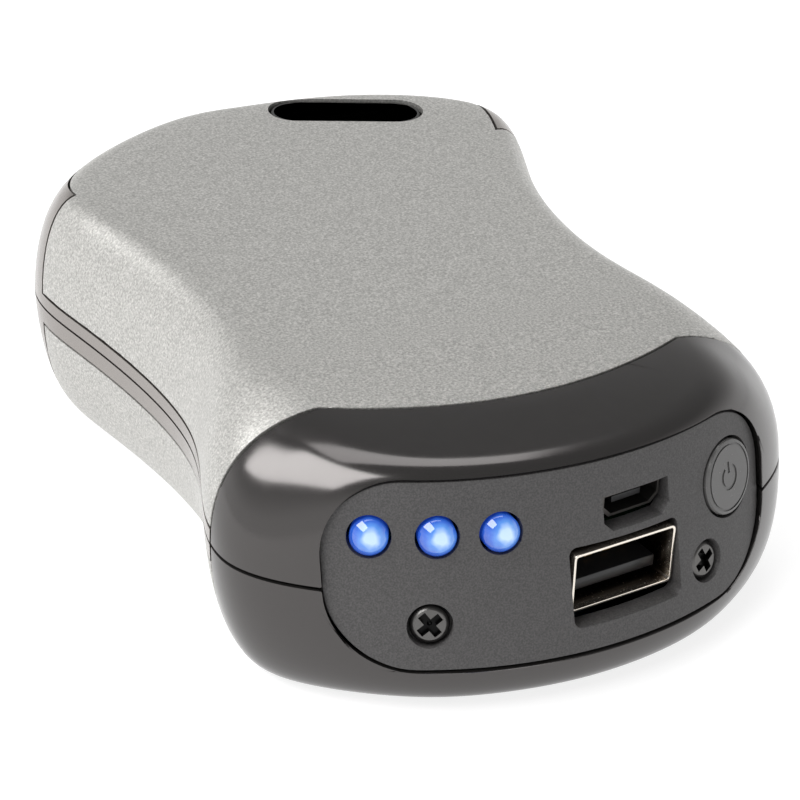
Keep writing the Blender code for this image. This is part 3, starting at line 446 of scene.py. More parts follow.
def box(size, centre, turn=None):
    data = bmesh.new()
    placed = Matrix.Translation(centre) @ (turn or Matrix.Identity(4))
    bmesh.ops.create_cube(data, size=1.0, matrix=placed @ Matrix.Diagonal((*size, 1.0)))
    return data


def turned(profile, start=(0.0, 0.0, 0.0), axis=(0.0, 0.0, 1.0), sides=64):
    """Revolves pairs of radius and place along the axis."""
    data = bmesh.new()
    axis = Vector(axis).normalized()
    placed = Matrix.Translation(start) @ axis.to_track_quat("Z", "Y").to_matrix().to_4x4()
    rings = []
    for radius, along in profile:
        if radius == 0:
            rings.append([data.verts.new(placed @ Vector((0.0, 0.0, along)))])
            continue
        ring = []
        for step in range(sides):
            angle = 2 * math.pi * step / sides
            spot = Vector((radius * math.cos(angle), radius * math.sin(angle), along))
            ring.append(data.verts.new(placed @ spot))
        rings.append(ring)
    for first, second in zip(rings, rings[1:]):
        for i in range(sides):
            j = (i + 1) % sides
            corners = (first[i % len(first)], first[j % len(first)],
                       second[j % len(second)], second[i % len(second)])
            data.faces.new(tuple(dict.fromkeys(corners)))
    bmesh.ops.recalc_face_normals(data, faces=data.faces)
    return data


def rounded_rectangle(half_width, low, high, corner, steps=12):
    corner = min(corner, half_width, (high - low) / 2)
    points = []
    for across, up, first in ((1, -1, -90), (1, 1, 0), (-1, 1, 90), (-1, -1, 180)):
        centre_x = across * (half_width - corner)
        centre_y = high - corner if up > 0 else low + corner
        for step in range(steps + 1):
            angle = math.radians(first + 90 * step / steps)
            points.append((centre_x + corner * math.cos(angle),
                           centre_y + corner * math.sin(angle)))
    return points


def slot_outline(length, width, steps=24):
    radius = width / 2
    reach = length / 2 - radius
    points = []
    for side, first in ((1, -90), (-1, 90)):
        for step in range(steps + 1):
            angle = math.radians(first + 180 * step / steps)
            points.append((side * reach + radius * math.cos(angle), radius * math.sin(angle)))
    return points


# Places on the panel

def panel_face(x, z):
    return arc_sag(x, PORT_END_RADIUS) + z * math.tan(PORT_LEAN)


def panel_inward(x):
    slope = x / math.sqrt(PORT_END_RADIUS**2 - x * x)
    return Vector((-slope, 1.0, -math.tan(PORT_LEAN))).normalized()


def panel_place(x, z):
    return Vector((x, panel_face(x, z), z))


def port_frame(x, z, recess):
    """Place of a port with an upright mouth, turned the way the panel faces at x."""
    mouth = Vector((x, panel_face(x, z) + recess, z))
    return Matrix.Translation(mouth) @ Matrix.Rotation(math.asin(x / PORT_END_RADIUS), 4, "Z")


def moved(data, placed):
    bmesh.ops.transform(data, matrix=placed, verts=data.verts)
    return data


def panel_outline(margin):
    return rounded_rectangle(PANEL_HALF_WIDTH + margin, -PANEL_BOTTOM - margin,
                             PANEL_TOP + margin, PANEL_CORNER + margin, steps=16)


def curved_wall(front, back):
    """The leaning wall between two depths behind the panel's face."""
    data = bmesh.new()
    sine = (PANEL_HALF_WIDTH + SEAM + LIP) / (PORT_END_RADIUS - back)
    half_angle = math.asin(min(PANEL_SINE_LIMIT, sine))
    rows = []
    low = -PANEL_BOTTOM - OVERRUN
    high = PANEL_TOP + OVERRUN
    for step in range(WALL_COLUMNS + 1):
        angle = half_angle * (2 * step / WALL_COLUMNS - 1)
        row = []
        for depth in (front, back):
            radius = PORT_END_RADIUS - depth
            for z in (low, high):
                y = PORT_END_RADIUS - radius * math.cos(angle) + z * math.tan(PORT_LEAN)
                row.append(data.verts.new((radius * math.sin(angle), y, z)))
        rows.append((row[0], row[1], row[3], row[2]))
    for first, second in zip(rows, rows[1:]):
        for i in range(4):
            j = (i + 1) % 4
            data.faces.new((first[i], first[j], second[j], second[i]))
    data.faces.new(rows[0])
    data.faces.new(rows[-1])
    bmesh.ops.recalc_face_normals(data, faces=data.faces)
    return data


def micro_outline(grow):
    half = MICRO_WIDTH / 2 + grow
    rise = MICRO_HEIGHT / 2 + grow
    return [(MICRO_CHAMFER - half, -rise), (half - MICRO_CHAMFER, -rise),
            (half, MICRO_CHAMFER - rise), (half, rise), (-half, rise),
            (-half, MICRO_CHAMFER - rise)]


def cap_edge_outline(shift, far):
    """All that lies between the caps' curved edge and a far limit."""
    half = PORT_HALF_WIDTH + OVERRUN
    arc_reach = math.sqrt(PORT_END_RADIUS**2
                          - (PORT_END_RADIUS - CAP_EDGE_SIDE + CAP_EDGE) ** 2)
    points = [(half, far), (-half, far), (-half, CAP_EDGE_SIDE + shift)]
    for step in range(CAP_ARC_STEPS + 1):
        x = arc_reach * (2 * step / CAP_ARC_STEPS - 1)
        points.append((x, CAP_EDGE + arc_sag(x, PORT_END_RADIUS) + shift))
    points.append((half, CAP_EDGE_SIDE + shift))
    return points


def inset_outline(inset):
    return [tuple(place + inward * inset) for place, inward in PLAN]


# Objects

def thing(name, data):
    """A piece measured from the datum."""
    mesh = bpy.data.meshes.new(name)
    bmesh.ops.translate(data, verts=data.verts, vec=DATUM)
    data.to_mesh(mesh)
    data.free()
    item = bpy.data.objects.new(name, mesh)
    bpy.context.scene.collection.objects.link(item)
    return item


def settle(item):
    """Applies the piece's modifiers."""
    graph = bpy.context.evaluated_depsgraph_get()
    mesh = bpy.data.meshes.new_from_object(item.evaluated_get(graph))
    item.modifiers.clear()
    item.data = mesh


def carve(item, tool, operation="DIFFERENCE", keep=False):
    modifier = item.modifiers.new("carve", "BOOLEAN")
    modifier.operation = operation
    modifier.object = tool
    modifier.solver = "MANIFOLD"
    settle(item)
    if not keep:
        bpy.data.objects.remove(tool, do_unlink=True)
    return item


def clean(item, distance):
    data = bmesh.new()
    data.from_mesh(item.data)
    bmesh.ops.remove_doubles(data, verts=data.verts, dist=distance)
    bmesh.ops.dissolve_degenerate(data, edges=data.edges, dist=distance)
    data.to_mesh(item.data)
    data.free()


def soften(item, width, segments=2, angle=50.0):
    modifier = item.modifiers.new("soften", "BEVEL")
    modifier.width = width
    modifier.segments = segments
    modifier.limit_method = "ANGLE"
    modifier.angle_limit = math.radians(angle)
    modifier.use_clamp_overlap = False
    settle(item)


def ease(item, find):
    """Gives each face corner the normal that find returns for its place, or its own."""
    mesh = item.data
    normals = []
    for face in mesh.polygons:
        for number in face.vertices:
            normals.append(find(mesh.vertices[number].co - DATUM, face.normal) or Vector())
    mesh.normals_split_custom_set(normals)


def skin_normals():
    """Looks up the smooth normal of the uncut body, so that cuts leave no creases in the skin."""
    form = body_form(0.0)
    form.normal_update()
    form.faces.ensure_lookup_table()
    tree = BVHTree.FromBMesh(form)

    def find(place, normal):
        spot, flat, number, distance = tree.find_nearest(place)
        if distance > SKIN_REACH or flat.dot(normal) < SKIN_LIKENESS:
            return None
        corners = form.faces[number].verts
        shares = poly_3d_calc([corner.co for corner in corners], spot)
        total = Vector()
        for corner, share in zip(corners, shares):
            total += corner.normal * share
        return total.normalized()

    return find


def panel_normals(place, normal):
    """The smooth normal of the panel's face, for places that lie on it."""
    off_face = abs(place.y - panel_face(place.x, place.z)) > PANEL_REACH
    if off_face or abs(place.x) > PANEL_HALF_WIDTH:
        return None
    outward = -panel_inward(place.x)
    return outward if outward.dot(normal) > PANEL_LIKENESS else None


def finish(item, body, material, angle=35.0, find=None):
    item.data.materials.clear()
    item.data.materials.append(material)
    item.data.shade_smooth()
    item.data.set_sharp_from_angle(angle=math.radians(angle))
    if find:
        ease(item, find)
    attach(item, body)


def paint(node, material):
    """Gives a plain piece its material."""
    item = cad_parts[node]
    item.data.materials.clear()
    item.data.materials.append(material)


# Materials

def blank(name, colour, roughness, metallic=0.0):
    made = bpy.data.materials.new(name)
    made.use_nodes = True
    shader = made.node_tree.nodes["Principled BSDF"]
    shader.inputs["Base Color"].default_value = (*colour, 1.0)
    shader.inputs["Roughness"].default_value = roughness
    shader.inputs["Metallic"].default_value = metallic
    return made, made.node_tree.nodes, made.node_tree.links, shader


def noise(nodes, links, scale, detail=2.0, roughness=0.5):
    where = nodes.get("Texture Coordinate") or nodes.new("ShaderNodeTexCoord")
    made = nodes.new("ShaderNodeTexNoise")
    made.inputs["Scale"].default_value = scale
    made.inputs["Detail"].default_value = detail
    made.inputs["Roughness"].default_value = roughness
    links.new(where.outputs["Object"], made.inputs["Vector"])
    return made.outputs["Fac"]


def ramp(nodes, links, source, stops):
    made = nodes.new("ShaderNodeValToRGB")
    made.color_ramp.elements[0].position = stops[0][0]
    made.color_ramp.elements[0].color = (*stops[0][1], 1.0)
    made.color_ramp.elements[1].position = stops[1][0]
    made.color_ramp.elements[1].color = (*stops[1][1], 1.0)
    for place, colour in stops[2:]:
        made.color_ramp.elements.new(place).color = (*colour, 1.0)
    links.new(source, made.inputs["Fac"])
    return made.outputs["Color"]


def spread(nodes, links, source, low, high):
    made = nodes.new("ShaderNodeMapRange")
    made.inputs["To Min"].default_value = low
    made.inputs["To Max"].default_value = high
    links.new(source, made.inputs["Value"])
    return made.outputs["Result"]


def bump(nodes, links, shader, source, strength, distance):
    made = nodes.new("ShaderNodeBump")
    made.inputs["Strength"].default_value = strength
    made.inputs["Distance"].default_value = distance
    links.new(source, made.inputs["Height"])
    links.new(made.outputs["Normal"], shader.inputs["Normal"])


def cover_material():
    made, nodes, links, shader = blank("cover_spray", (0.4, 0.39, 0.37), 0.42, metallic=0.85)
    grain = noise(nodes, links, scale=3600.0, detail=2.0, roughness=0.7)
    colour = ramp(nodes, links, grain, [(0.32, (0.31, 0.306, 0.290)), (0.70, (0.62, 0.61, 0.585)),
                                        (0.50, (0.44, 0.434, 0.416))])
    links.new(colour, shader.inputs["Base Color"])
    patches = noise(nodes, links, scale=2600.0, detail=1.0)
    links.new(spread(nodes, links, patches, low=0.34, high=0.52), shader.inputs["Roughness"])
    pits = noise(nodes, links, scale=5200.0, detail=1.0)
    bump(nodes, links, shader, pits, strength=0.20, distance=0.00002)
    return made


def frame_material():
    made, nodes, links, shader = blank("frame_silver", (0.27, 0.25, 0.235), 0.22, metallic=0.9)
    patches = noise(nodes, links, scale=900.0)
    links.new(spread(nodes, links, patches, low=0.18, high=0.28), shader.inputs["Roughness"])
    return made


def cap_material():
    made, nodes, links, shader = blank("cap_gloss", (0.010, 0.0095, 0.0092), 0.14)
    shader.inputs["IOR"].default_value = 1.75
    shader.inputs["Specular Tint"].default_value = (1.0, 0.95, 0.935, 1.0)
    patches = noise(nodes, links, scale=700.0, detail=3.0)
    links.new(spread(nodes, links, patches, low=0.13, high=0.19), shader.inputs["Roughness"])
    waves = noise(nodes, links, scale=500.0)
    bump(nodes, links, shader, waves, strength=0.05, distance=0.00002)
    return made


def panel_material(name, colour, roughness):
    made, nodes, links, shader = blank(name, colour, roughness)
    dark = tuple(0.75 * value for value in colour)
    light = tuple(1.45 * value for value in colour)
    grain = noise(nodes, links, scale=5200.0)
    tone = ramp(nodes, links, grain, [(0.35, dark), (0.70, light)])
    links.new(tone, shader.inputs["Base Color"])
    pits = noise(nodes, links, scale=4800.0)
    bump(nodes, links, shader, pits, strength=0.5, distance=0.00004)
    return made


def metal_material(name, colour, roughness):
    made, nodes, links, shader = blank(name, colour, roughness, metallic=1.0)
    patches = noise(nodes, links, scale=2500.0)
    links.new(spread(nodes, links, patches, low=roughness * 0.8, high=roughness * 1.3),
              shader.inputs["Roughness"])
    waves = noise(nodes, links, scale=3000.0)
    bump(nodes, links, shader, waves, strength=0.08, distance=0.00002)
    return made


def metal_with_painted_shade(name, roughness, axis, start, end, stops):
    """A metal with painted shade: its colour darkens with the depth of a recess."""
    made = metal_material(name, stops[0][1], roughness)
    nodes, links = made.node_tree.nodes, made.node_tree.links
    apart = nodes.new("ShaderNodeSeparateXYZ")
    links.new(nodes["Texture Coordinate"].outputs["Object"], apart.inputs["Vector"])
    depth = spread(nodes, links, apart.outputs[axis], 0.0, 1.0)
    depth.node.inputs["From Min"].default_value = start
    depth.node.inputs["From Max"].default_value = end
    links.new(ramp(nodes, links, depth, stops), nodes["Principled BSDF"].inputs["Base Color"])
    return made


def plastic_material(name, colour, roughness):
    made, nodes, links, shader = blank(name, colour, roughness)
    patches = noise(nodes, links, scale=1500.0)
    links.new(spread(nodes, links, patches, low=roughness * 0.85, high=min(1.0, roughness * 1.2)),
              shader.inputs["Roughness"])
    return made


def lens_material():
    """Clear blue dome, lit from behind: pale in the middle and deep blue at the rim."""
    made, nodes, links, shader = blank("lens_blue", (0.01, 0.04, 0.22), 0.05)
    shader.inputs["Coat Weight"].default_value = 1.0
    shader.inputs["Coat Roughness"].default_value = 0.03
    where = nodes.new("ShaderNodeTexCoord")
    ball = nodes.new("ShaderNodeTexGradient")
    ball.gradient_type = "SPHERICAL"
    scaled = nodes.new("ShaderNodeMapping")
    scaled.inputs["Scale"].default_value = (1 / LENS_REACH, 1 / LENS_REACH, 1 / LENS_REACH)
    scaled.inputs["Location"].default_value = LENS_GLOW_SHIFT
    links.new(where.outputs["Object"], scaled.inputs["Vector"])
    links.new(scaled.outputs["Vector"], ball.inputs["Vector"])
    cloud = noise(nodes, links, scale=900.0, detail=1.0)
    mixed = nodes.new("ShaderNodeMath")
    mixed.operation = "MULTIPLY_ADD"
    mixed.inputs[1].default_value = LENS_CLOUD_SHARE
    links.new(cloud, mixed.inputs[0])
    links.new(ball.outputs["Fac"], mixed.inputs[2])
    glow = ramp(nodes, links, mixed.outputs["Value"], [
        (0.20, (0.004, 0.025, 0.22)), (0.95, (0.58, 0.76, 0.92)), (0.48, (0.02, 0.10, 0.44)),
        (0.72, (0.10, 0.28, 0.62))])
    links.new(glow, shader.inputs["Emission Color"])
    shader.inputs["Emission Strength"].default_value = 1.0
    return made


COVER = cover_material()
FRAME = frame_material()
CAP = cap_material()
PANEL = panel_material("panel_matt", (0.047, 0.045, 0.045), 0.55)
BUTTON = plastic_material("button_smooth", (0.085, 0.083, 0.082), 0.25)
SLEEVE = plastic_material("sleeve_dark", (0.012, 0.012, 0.012), 0.4)
# Outlet shell nickel: bright at the mouth, with painted shade that darkens it deeper inside the
# outlet
NICKEL_WITH_PAINTED_SHADE = metal_with_painted_shade("nickel_plate_painted_shade", 0.24, "Y", OUTLET_SHADE_START, OUTLET_SHADE_END, [
    (0.0, (0.80, 0.74, 0.66)), (1.0, (0.07, 0.055, 0.042)), (0.35, (0.20, 0.165, 0.13))])
# The inlet's nickel shell is painted near black, standing in for the shade inside the inlet
NICKEL_PAINTED_DARK = metal_material("nickel_painted_dark_as_shade", (0.10, 0.095, 0.09), 0.45)
STRIP = metal_material("strip_nickel", (0.80, 0.76, 0.70), 0.28)
GOLD = metal_material("gold_plate", (0.95, 0.62, 0.22), 0.25)
# Screw steel: dark grey on the head's face, with painted shade that turns it near black down the
# rim and in the cross recess
STEEL_WITH_PAINTED_SHADE = metal_with_painted_shade(
    "black_steel_painted_shade", 0.30, "Z", -SCREW_SINK - HEAD_SHADE_START, -SCREW_SINK - HEAD_SHADE_END,
    [(0.0, (0.12, 0.117, 0.114)), (1.0, (0.010, 0.010, 0.010))])
TONGUE = plastic_material("tongue_black", (0.012, 0.012, 0.013), 0.3)
LENS = lens_material()
BOARD = plastic_material("board_green", (0.02, 0.16, 0.07), 0.4)
WRAP = plastic_material("cell_sleeve", (0.03, 0.20, 0.42), 0.3)
FILM = plastic_material("heater_film", (0.60, 0.28, 0.05), 0.35)
FOAM = panel_material("pad_foam", (0.20, 0.20, 0.21), 0.9)
WHITE = plastic_material("white_plastic", (0.75, 0.75, 0.72), 0.4)


# Shells

def cover_zone(name, grow, upper):
    """The space that a cover takes up, wide as far as its shoulder and inset behind it."""
    side = 1.0 if upper else -1.0
    edge = side * ((BAND_RISE if upper else BAND_DROP) - grow)
    far_z = side * (BODY_HALF_THICKNESS + OVERRUN)
    sides = cap_edge_outline(SEAM / 2 - grow, COVER_SHOULDER + grow)
    zone = thing(name, prism(sides, "Z", edge, far_z))
    top = thing(name + "_far", prism(inset_outline(COVER_INSET - grow), "Z", edge, far_z))
    near = box((2 * PORT_HALF_WIDTH + 2 * OVERRUN, COVER_SHOULDER,
                2 * OVERRUN + 2 * BODY_HALF_THICKNESS),
               (0.0, COVER_SHOULDER / 2 - OVERRUN, 0.0))
    carve(top, thing(name + "_near", near))
    return carve(zone, top, "UNION")


def eyelet_prism(grow, low, high):
    data = prism(slot_outline(EYELET_LENGTH + 2 * grow, EYELET_WIDTH + 2 * grow), "Z", low, high)
    centre = Vector((EYELET_X, BODY_LENGTH - EYELET_FROM_END, 0.0))
    turn = Matrix.Translation(centre) @ Matrix.Rotation(EYELET_ANGLE, 4, "Z")
    bmesh.ops.transform(data, matrix=turn, verts=data.verts)
    return data


def make_shells():
    find = skin_normals()
    cover_inside = thing("cover_inside", body_form(COVER_WALL))
    frame_inside = thing("frame_inside", body_form(COVER_WALL + FIT_GAP + FRAME_WALL))
    cover_seat = thing("cover_seat", body_form(COVER_WALL + FIT_GAP))
    cap_inside = thing("cap_inside", body_form(CAP_WALL))
    eyelet_hole = thing("eyelet_hole", eyelet_prism(EYELET_WALL + FIT_GAP, -OVERRUN, OVERRUN))
    opening = thing("opening", prism(panel_outline(SEAM), "Y", -OVERRUN, OVERRUN))
    for upper, cover_name, frame_name, cap_name in (
            (True, "front_cover", "upper_frame", "end_cap_upper"),
            (False, "rear_cover", "lower_frame", "end_cap_lower")):
        side = 1.0 if upper else -1.0
        far_z = side * (BODY_HALF_THICKNESS + OVERRUN)

        cover = thing(cover_name + "_skin", body_form(0.0))
        carve(cover, cover_zone("zone", 0.0, upper), "INTERSECT")
        carve(cover, cover_inside, keep=True)
        clean(cover, SKIN_WELD)
        soften(cover, COVER_ROUND)
        carve(cover, eyelet_hole, keep=True)
        finish(cover, "housing", COVER, find=find)
        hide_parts(cover_name)

        shell = thing(frame_name + "_skin", body_form(0.0))
        behind = cap_edge_outline(SEAM / 2, BODY_LENGTH + OVERRUN)
        keep = prism(behind, "Z", side * SEAM / 2, far_z)
        carve(shell, thing("keep", keep), "INTERSECT")
        seat = carve(cover_zone("seat", FIT_GAP, upper), cover_seat, keep=True)
        carve(shell, seat)
        carve(shell, frame_inside, keep=True)
        carve(shell, eyelet_hole, keep=True)
        clean(shell, FRAME_WELD)
        finish(shell, "housing", FRAME, find=find)
        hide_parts(frame_name)

        cap = thing(cap_name + "_skin", body_form(0.0))
        ahead = cap_edge_outline(-SEAM / 2, -OVERRUN)
        keep = prism(ahead, "Z", side * SEAM / 2, far_z)
        carve(cap, thing("keep", keep), "INTERSECT")
        carve(cap, opening, keep=True)
        carve(cap, cap_inside, keep=True)
        clean(cap, SKIN_WELD)
        soften(cap, CAP_ROUND)
        finish(cap, "housing", CAP, find=find)
        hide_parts(cap_name)
    for item in (cover_inside, frame_inside, cover_seat, cap_inside, eyelet_hole, opening):
        bpy.data.objects.remove(item, do_unlink=True)


def bore(panel, diameter, x, z, sides=64):
    """A round hole, square to the panel."""
    radius = diameter / 2 + FIT_GAP
    hole = turned([(0, -OVERRUN), (radius, -OVERRUN), (radius, OVERRUN), (0, OVERRUN)],
                  panel_place(x, z), panel_inward(x), sides)
    carve(panel, thing("bore", hole))


def make_panel():
    panel = thing("port_panel_face", curved_wall(0.0, PANEL_WALL))
    carve(panel, thing("shape", prism(panel_outline(0.0), "Y", -OVERRUN, OVERRUN)), "INTERSECT")
    outline = rounded_rectangle(USB_A_WIDTH / 2 + USB_A_SIDE_MARGIN,
                                -USB_A_HEIGHT / 2 - USB_A_MARGIN,
                                USB_A_HEIGHT / 2 + USB_A_MARGIN, USB_A_CORNER, steps=8)
    outlet = prism(outline, "Y", -OVERRUN, OVERRUN)
    carve(panel, thing("outlet", moved(outlet, port_frame(USB_A_X, USB_A_Z, 0.0))))
    inlet = prism(micro_outline(MICRO_MARGIN), "Y", -OVERRUN, OVERRUN)
    carve(panel, thing("inlet", moved(inlet, port_frame(MICRO_X, MICRO_Z, 0.0))))
    for x in LED_X:
        bore(panel, LED_DIAMETER, x, LED_Z)
    bore(panel, BUTTON_DIAMETER, BUTTON_X, BUTTON_Z, BUTTON_BORE_SIDES)
    head = SCREW_HEAD_DIAMETER / 2 + FIT_GAP
    shank = SCREW_SHANK_DIAMETER / 2 + FIT_GAP
    floor = SCREW_SINK + SCREW_HEAD_HEIGHT + FIT_GAP
    for side in (-1.0, 1.0):
        x = side * SCREW_X
        sink = turned([(0, -OVERRUN), (head, -OVERRUN), (head, floor), (shank, floor),
                       (shank, OVERRUN), (0, OVERRUN)], panel_place(x, SCREW_Z), panel_inward(x))
        carve(panel, thing("sink", sink))
    clean(panel, PANEL_WELD)
    soften(panel, PANEL_ROUND)
    finish(panel, "housing", PANEL, find=panel_normals)
    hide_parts("port_panel")


def in_frame(name, data, placed):
    """A piece with its own origin and axes, so that its material follows it."""
    mesh = bpy.data.meshes.new(name)
    data.to_mesh(mesh)
    data.free()
    item = bpy.data.objects.new(name, mesh)
    item.matrix_world = Matrix.Translation(DATUM) @ placed
    bpy.context.scene.collection.objects.link(item)
    return item


def face_frame(x, z):
    """X along the panel, Y up it, Z out of it."""
    outward = -panel_inward(x)
    across = Vector((0.0, 0.0, 1.0)).cross(outward).normalized()
    turn = Matrix((across, outward.cross(across), outward)).transposed().to_4x4()
    return Matrix.Translation(panel_place(x, z)) @ turn


def make_lenses():
    radius = LED_DIAMETER / 2
    dome_radius = (radius**2 + LED_PROUD**2) / (2 * LED_PROUD)
    reach = math.asin(radius / dome_radius)
    dome = []
    for step in range(DOME_STEPS + 1):
        angle = reach * step / DOME_STEPS
        dome.append((dome_radius * math.sin(angle),
                     LED_PROUD - dome_radius * (1 - math.cos(angle))))
    stem_radius = LED_STEM_DIAMETER / 2
    stem = [(radius, -LED_FLANGE), (stem_radius, -LED_FLANGE), (stem_radius, -LED_DEPTH),
            (0, -LED_DEPTH)]
    for label, x in zip(("left", "middle", "right"), LED_X):
        lens = in_frame("lens_dome_" + label, turned(dome + stem), face_frame(x, LED_Z))
        finish(lens, "housing", LENS)
        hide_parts("led_lens_" + label)


def make_screws():
    radius = SCREW_HEAD_DIAMETER / 2
    shank = SCREW_SHANK_DIAMETER / 2
    low = -SCREW_SINK - SCREW_HEAD_HEIGHT
    tip = -SCREW_SINK - SCREW_LENGTH
    edge = radius * SCREW_EDGE_SHARE
    head = [(0, -SCREW_SINK), (radius * SCREW_FLAT_SHARE, -SCREW_SINK - edge * 0.35),
            (radius - edge, -SCREW_SINK - edge * 0.8), (radius, -SCREW_SINK - 2 * edge),
            (radius, low), (shank, low), (shank, tip), (0, tip)]
    for label, side, turn in zip(("left", "right"), (-1.0, 1.0), SCREW_TURNS):
        placed = face_frame(side * SCREW_X, SCREW_Z)
        screw = in_frame("screw_" + label, turned(head), placed)
        for angle in (turn, turn + 90.0):
            arm = box((CROSS_LENGTH, RECESS_WIDTH, 2 * RECESS_DEPTH), (0.0, 0.0, -SCREW_SINK),
                      Matrix.Rotation(math.radians(angle), 4, "Z"))
            carve(screw, in_frame("arm", arm, placed))
        cone = [(0, -SCREW_SINK - RECESS_POINT), (RECESS_WIDTH, ENGRAVING), (0, ENGRAVING)]
        carve(screw, in_frame("point", turned(cone, sides=RECESS_SIDES), placed))
        # The steel carries painted shade in the cross recess and down the head's rim
        finish(screw, "housing", STEEL_WITH_PAINTED_SHADE, angle=25.0)
        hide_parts("panel_screw_" + label)


def ring_groove(diameter, width, share=1.0):
    """A ring or part of one, for cutting a groove; the gap of a part lies at the top."""
    data = bmesh.new()
    start = math.pi / 2 + math.pi * (1 - share)
    near, far = (diameter - width) / 2, (diameter + width) / 2
    rows = []
    closed = share == 1.0
    for step in range(GROOVE_STEPS if closed else GROOVE_STEPS + 1):
        angle = start + 2 * math.pi * share * step / GROOVE_STEPS
        row = []
        for radius, level in ((near, -ENGRAVING), (far, -ENGRAVING), (far, ENGRAVING),
                              (near, ENGRAVING)):
            row.append(data.verts.new((radius * math.cos(angle), radius * math.sin(angle), level)))
        rows.append(row)
    pairs = list(zip(rows, rows[1:])) + ([(rows[-1], rows[0])] if closed else [])
    for first, second in pairs:
        for i in range(4):
            j = (i + 1) % 4
            data.faces.new((first[i], first[j], second[j], second[i]))
    if not closed:
        data.faces.new(rows[0])
        data.faces.new(rows[-1])
    bmesh.ops.recalc_face_normals(data, faces=data.faces)
    return data


def make_button():
    radius = BUTTON_DIAMETER / 2
    stem = BUTTON_STEM_DIAMETER / 2
    edge = radius * BUTTON_EDGE_SHARE
    back = BUTTON_PROUD - BUTTON_THICKNESS
    tip = back - BUTTON_STEM_LENGTH
    profile = [(0, BUTTON_PROUD), (radius - 2 * edge, BUTTON_PROUD),
               (radius - edge * 0.6, BUTTON_PROUD - edge * 0.4),
               (radius, BUTTON_PROUD - 1.5 * edge), (radius, back), (stem, back), (stem, tip),
               (0, tip)]
    placed = face_frame(BUTTON_X, BUTTON_Z)
    raised = placed @ Matrix.Translation((0.0, 0.0, BUTTON_PROUD))
    button = in_frame("button_disc", turned(profile, sides=BUTTON_SIDES), placed)
    stroke = 3 * ENGRAVING
    carve(button, in_frame("ring", ring_groove(RING_DIAMETER, 2 * ENGRAVING), raised))
    carve(button, in_frame("mark", ring_groove(MARK_DIAMETER, stroke, MARK_RING_SHARE), raised))
    bar = box((stroke, MARK_DIAMETER * MARK_BAR_SHARE, 2 * ENGRAVING),
              (0.0, MARK_DIAMETER * MARK_BAR_RISE_SHARE, 0.0))
    carve(button, in_frame("bar", bar, raised))
    finish(button, "button", BUTTON, angle=25.0)
    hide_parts("power_button")


def make_outlet():
    placed = port_frame(USB_A_X, USB_A_Z, USB_A_RECESS)
    half, rise = USB_A_WIDTH / 2, USB_A_HEIGHT / 2
    outline = rounded_rectangle(half, -rise, rise, SHELL_CORNER, steps=6)
    shell = in_frame("outlet_shell", prism(outline, "Y", 0.0, USB_A_LENGTH), placed)
    outline = rounded_rectangle(half - USB_A_WALL, USB_A_WALL - rise, rise - USB_A_WALL,
                                SHELL_CORNER / 2, steps=6)
    hollow = prism(outline, "Y", -FIT_GAP, USB_A_LENGTH - USB_A_WALL)
    carve(shell, in_frame("hollow", hollow, placed))
    soften(shell, SHELL_ROUND)
    # The shell's nickel carries painted shade that darkens it deeper inside the outlet
    finish(shell, "housing", NICKEL_WITH_PAINTED_SHADE)
    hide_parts("usb_a_shell")

    back = USB_A_LENGTH - USB_A_WALL - FIT_GAP
    plate = box((USB_A_TONGUE_WIDTH, back - USB_A_TONGUE_RECESS, USB_A_TONGUE_HEIGHT),
                (0.0, (USB_A_TONGUE_RECESS + back) / 2, -USB_A_TONGUE_DROP))
    tongue = in_frame("outlet_tongue", plate, placed)
    clear = 2 * (USB_A_WALL + FIT_GAP)
    block = box((USB_A_WIDTH - clear, USB_A_BLOCK_LENGTH, USB_A_HEIGHT - clear),
                (0.0, back - USB_A_BLOCK_LENGTH / 2, 0.0))
    carve(tongue, in_frame("block", block, placed), "UNION")
    soften(tongue, TONGUE_ROUND)
    finish(tongue, "housing", TONGUE)
    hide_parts("usb_a_tongue")


def make_eyelet():
    reach = BODY_HALF_THICKNESS - EYELET_SINK
    eyelet = thing("eyelet_sleeve", eyelet_prism(EYELET_WALL, -reach, reach))
    carve(eyelet, thing("bore", eyelet_prism(0.0, -OVERRUN, OVERRUN)))
    soften(eyelet, EYELET_ROUND, segments=5, angle=60.0)
    finish(eyelet, "housing", SLEEVE, angle=60.0)
    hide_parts("lanyard_eyelet")


make_shells()
make_panel()
make_lenses()
make_screws()
make_button()
make_outlet()
make_eyelet()

for node in ("cell_strip_front", "cell_strip_rear"):
    paint(node, STRIP)
for number in range(1, 5):
    paint("usb_a_contact_%d" % number, GOLD)
for node in ("micro_usb_tongue", "button_switch", "thermal_sensor"):
    paint(node, TONGUE)
# Painted shade: the inlet's shell gets nickel painted near black
paint("micro_usb_shell", NICKEL_PAINTED_DARK)
for label in ("left", "right"):
    paint("battery_cell_" + label, WRAP)
for label in ("left", "middle", "right"):
    paint("led_chip_" + label, WHITE)
for label in ("front", "rear"):
    paint(label + "_heater", FILM)
    paint(label + "_pad", FOAM)
paint("switch_plunger", WHITE)
paint("micro_usb_stand", WHITE)
paint("circuit_board", BOARD)


# Floor, light and camera

def make_floor():
    data = bmesh.new()
    bmesh.ops.create_grid(data, x_segments=2, y_segments=2, size=FLOOR_SIZE)
    mesh = bpy.data.meshes.new("floor")
    data.to_mesh(mesh)
    data.free()
    floor = bpy.data.objects.new("floor", mesh)
    floor.location.z = -FLOOR_DROP
    bpy.context.scene.collection.objects.link(floor)
    made, _, _, shader = blank("floor_pale", FLOOR_COLOUR, 0.8)
    shader.inputs["Emission Color"].default_value = (1.0, 1.0, 1.0, 1.0)
    shader.inputs["Emission Strength"].default_value = FLOOR_GLOW
    mesh.materials.append(made)


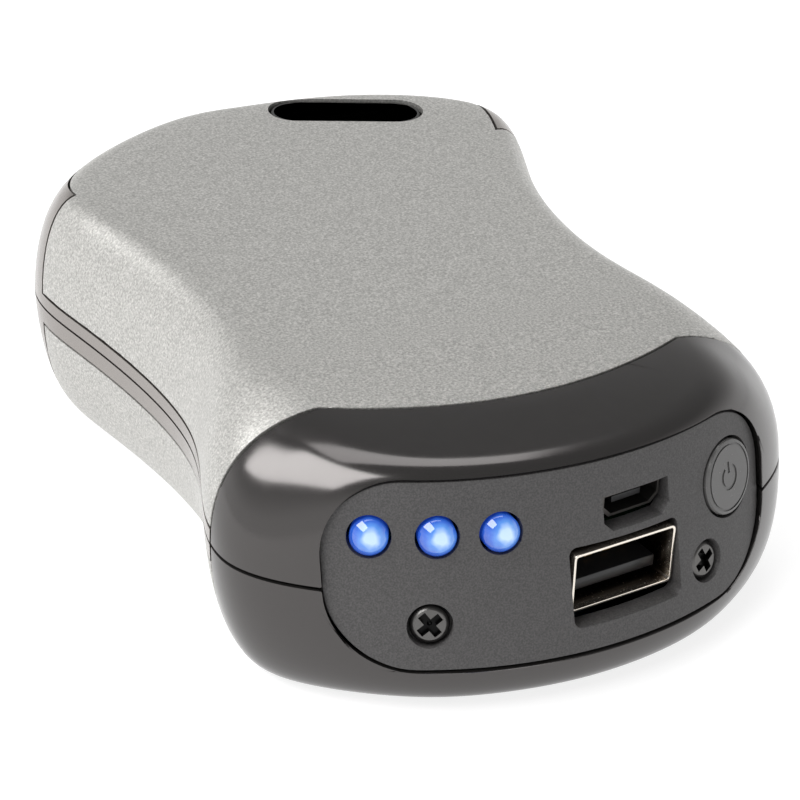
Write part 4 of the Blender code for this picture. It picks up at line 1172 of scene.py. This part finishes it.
def area_light(name, azimuth, elevation, size, power):
    """A soft light that looks at the object's middle from LIGHT_DISTANCE."""
    across, up = math.radians(azimuth), math.radians(elevation)
    place = Vector((math.sin(across) * math.cos(up), -math.cos(across) * math.cos(up),
                    math.sin(up))) * LIGHT_DISTANCE
    light = bpy.data.lights.new(name, "AREA")
    light.shape = "RECTANGLE"
    light.size, light.size_y = size
    light.energy = power
    item = bpy.data.objects.new(name, light)
    item.location = place
    item.rotation_euler = (-place).to_track_quat("-Z", "Y").to_euler()
    bpy.context.scene.collection.objects.link(item)


def make_light():
    world = bpy.context.scene.world or bpy.data.worlds.new("studio")
    bpy.context.scene.world = world
    world.use_nodes = True
    nodes, links = world.node_tree.nodes, world.node_tree.links
    shade = nodes["Background"]
    where = nodes.new("ShaderNodeTexCoord")
    parts = nodes.new("ShaderNodeSeparateXYZ")
    links.new(where.outputs["Generated"], parts.inputs["Vector"])
    stops = [(place, (tone, tone, tone)) for place, tone in SURROUND_TONES]
    links.new(ramp(nodes, links, parts.outputs["Z"], stops), shade.inputs["Color"])
    shade.inputs["Strength"].default_value = SURROUND_STRENGTH
    area_light("key", KEY_AZIMUTH, KEY_ELEVATION, KEY_SIZE, KEY_POWER)
    area_light("top", TOP_AZIMUTH, TOP_ELEVATION, TOP_SIZE, TOP_POWER)


def make_camera():
    yaw, pitch, roll = CAMERA_YAW, CAMERA_PITCH, CAMERA_ROLL
    forward = Vector((math.sin(yaw) * math.cos(pitch), math.cos(yaw) * math.cos(pitch),
                      -math.sin(pitch)))
    level = Vector((math.cos(yaw), -math.sin(yaw), 0.0))
    rise = level.cross(forward)
    right = level * math.cos(roll) + rise * math.sin(roll)
    up = rise * math.cos(roll) - level * math.sin(roll)
    turn = Matrix((right, up, -forward)).transposed().to_4x4()
    data = bpy.data.cameras.new("camera")
    data.sensor_width = SENSOR_WIDTH
    data.lens = SENSOR_WIDTH * FOCAL_PIXELS / PICTURE_WIDTH
    data.clip_start = CAMERA_START
    item = bpy.data.objects.new("camera", data)
    item.matrix_world = Matrix.Translation(DATUM + Vector(CAMERA_PLACE)) @ turn
    bpy.context.scene.collection.objects.link(item)
    bpy.context.scene.camera = item


make_floor()
make_light()
make_camera()
bpy.context.scene.view_settings.view_transform = "Standard"
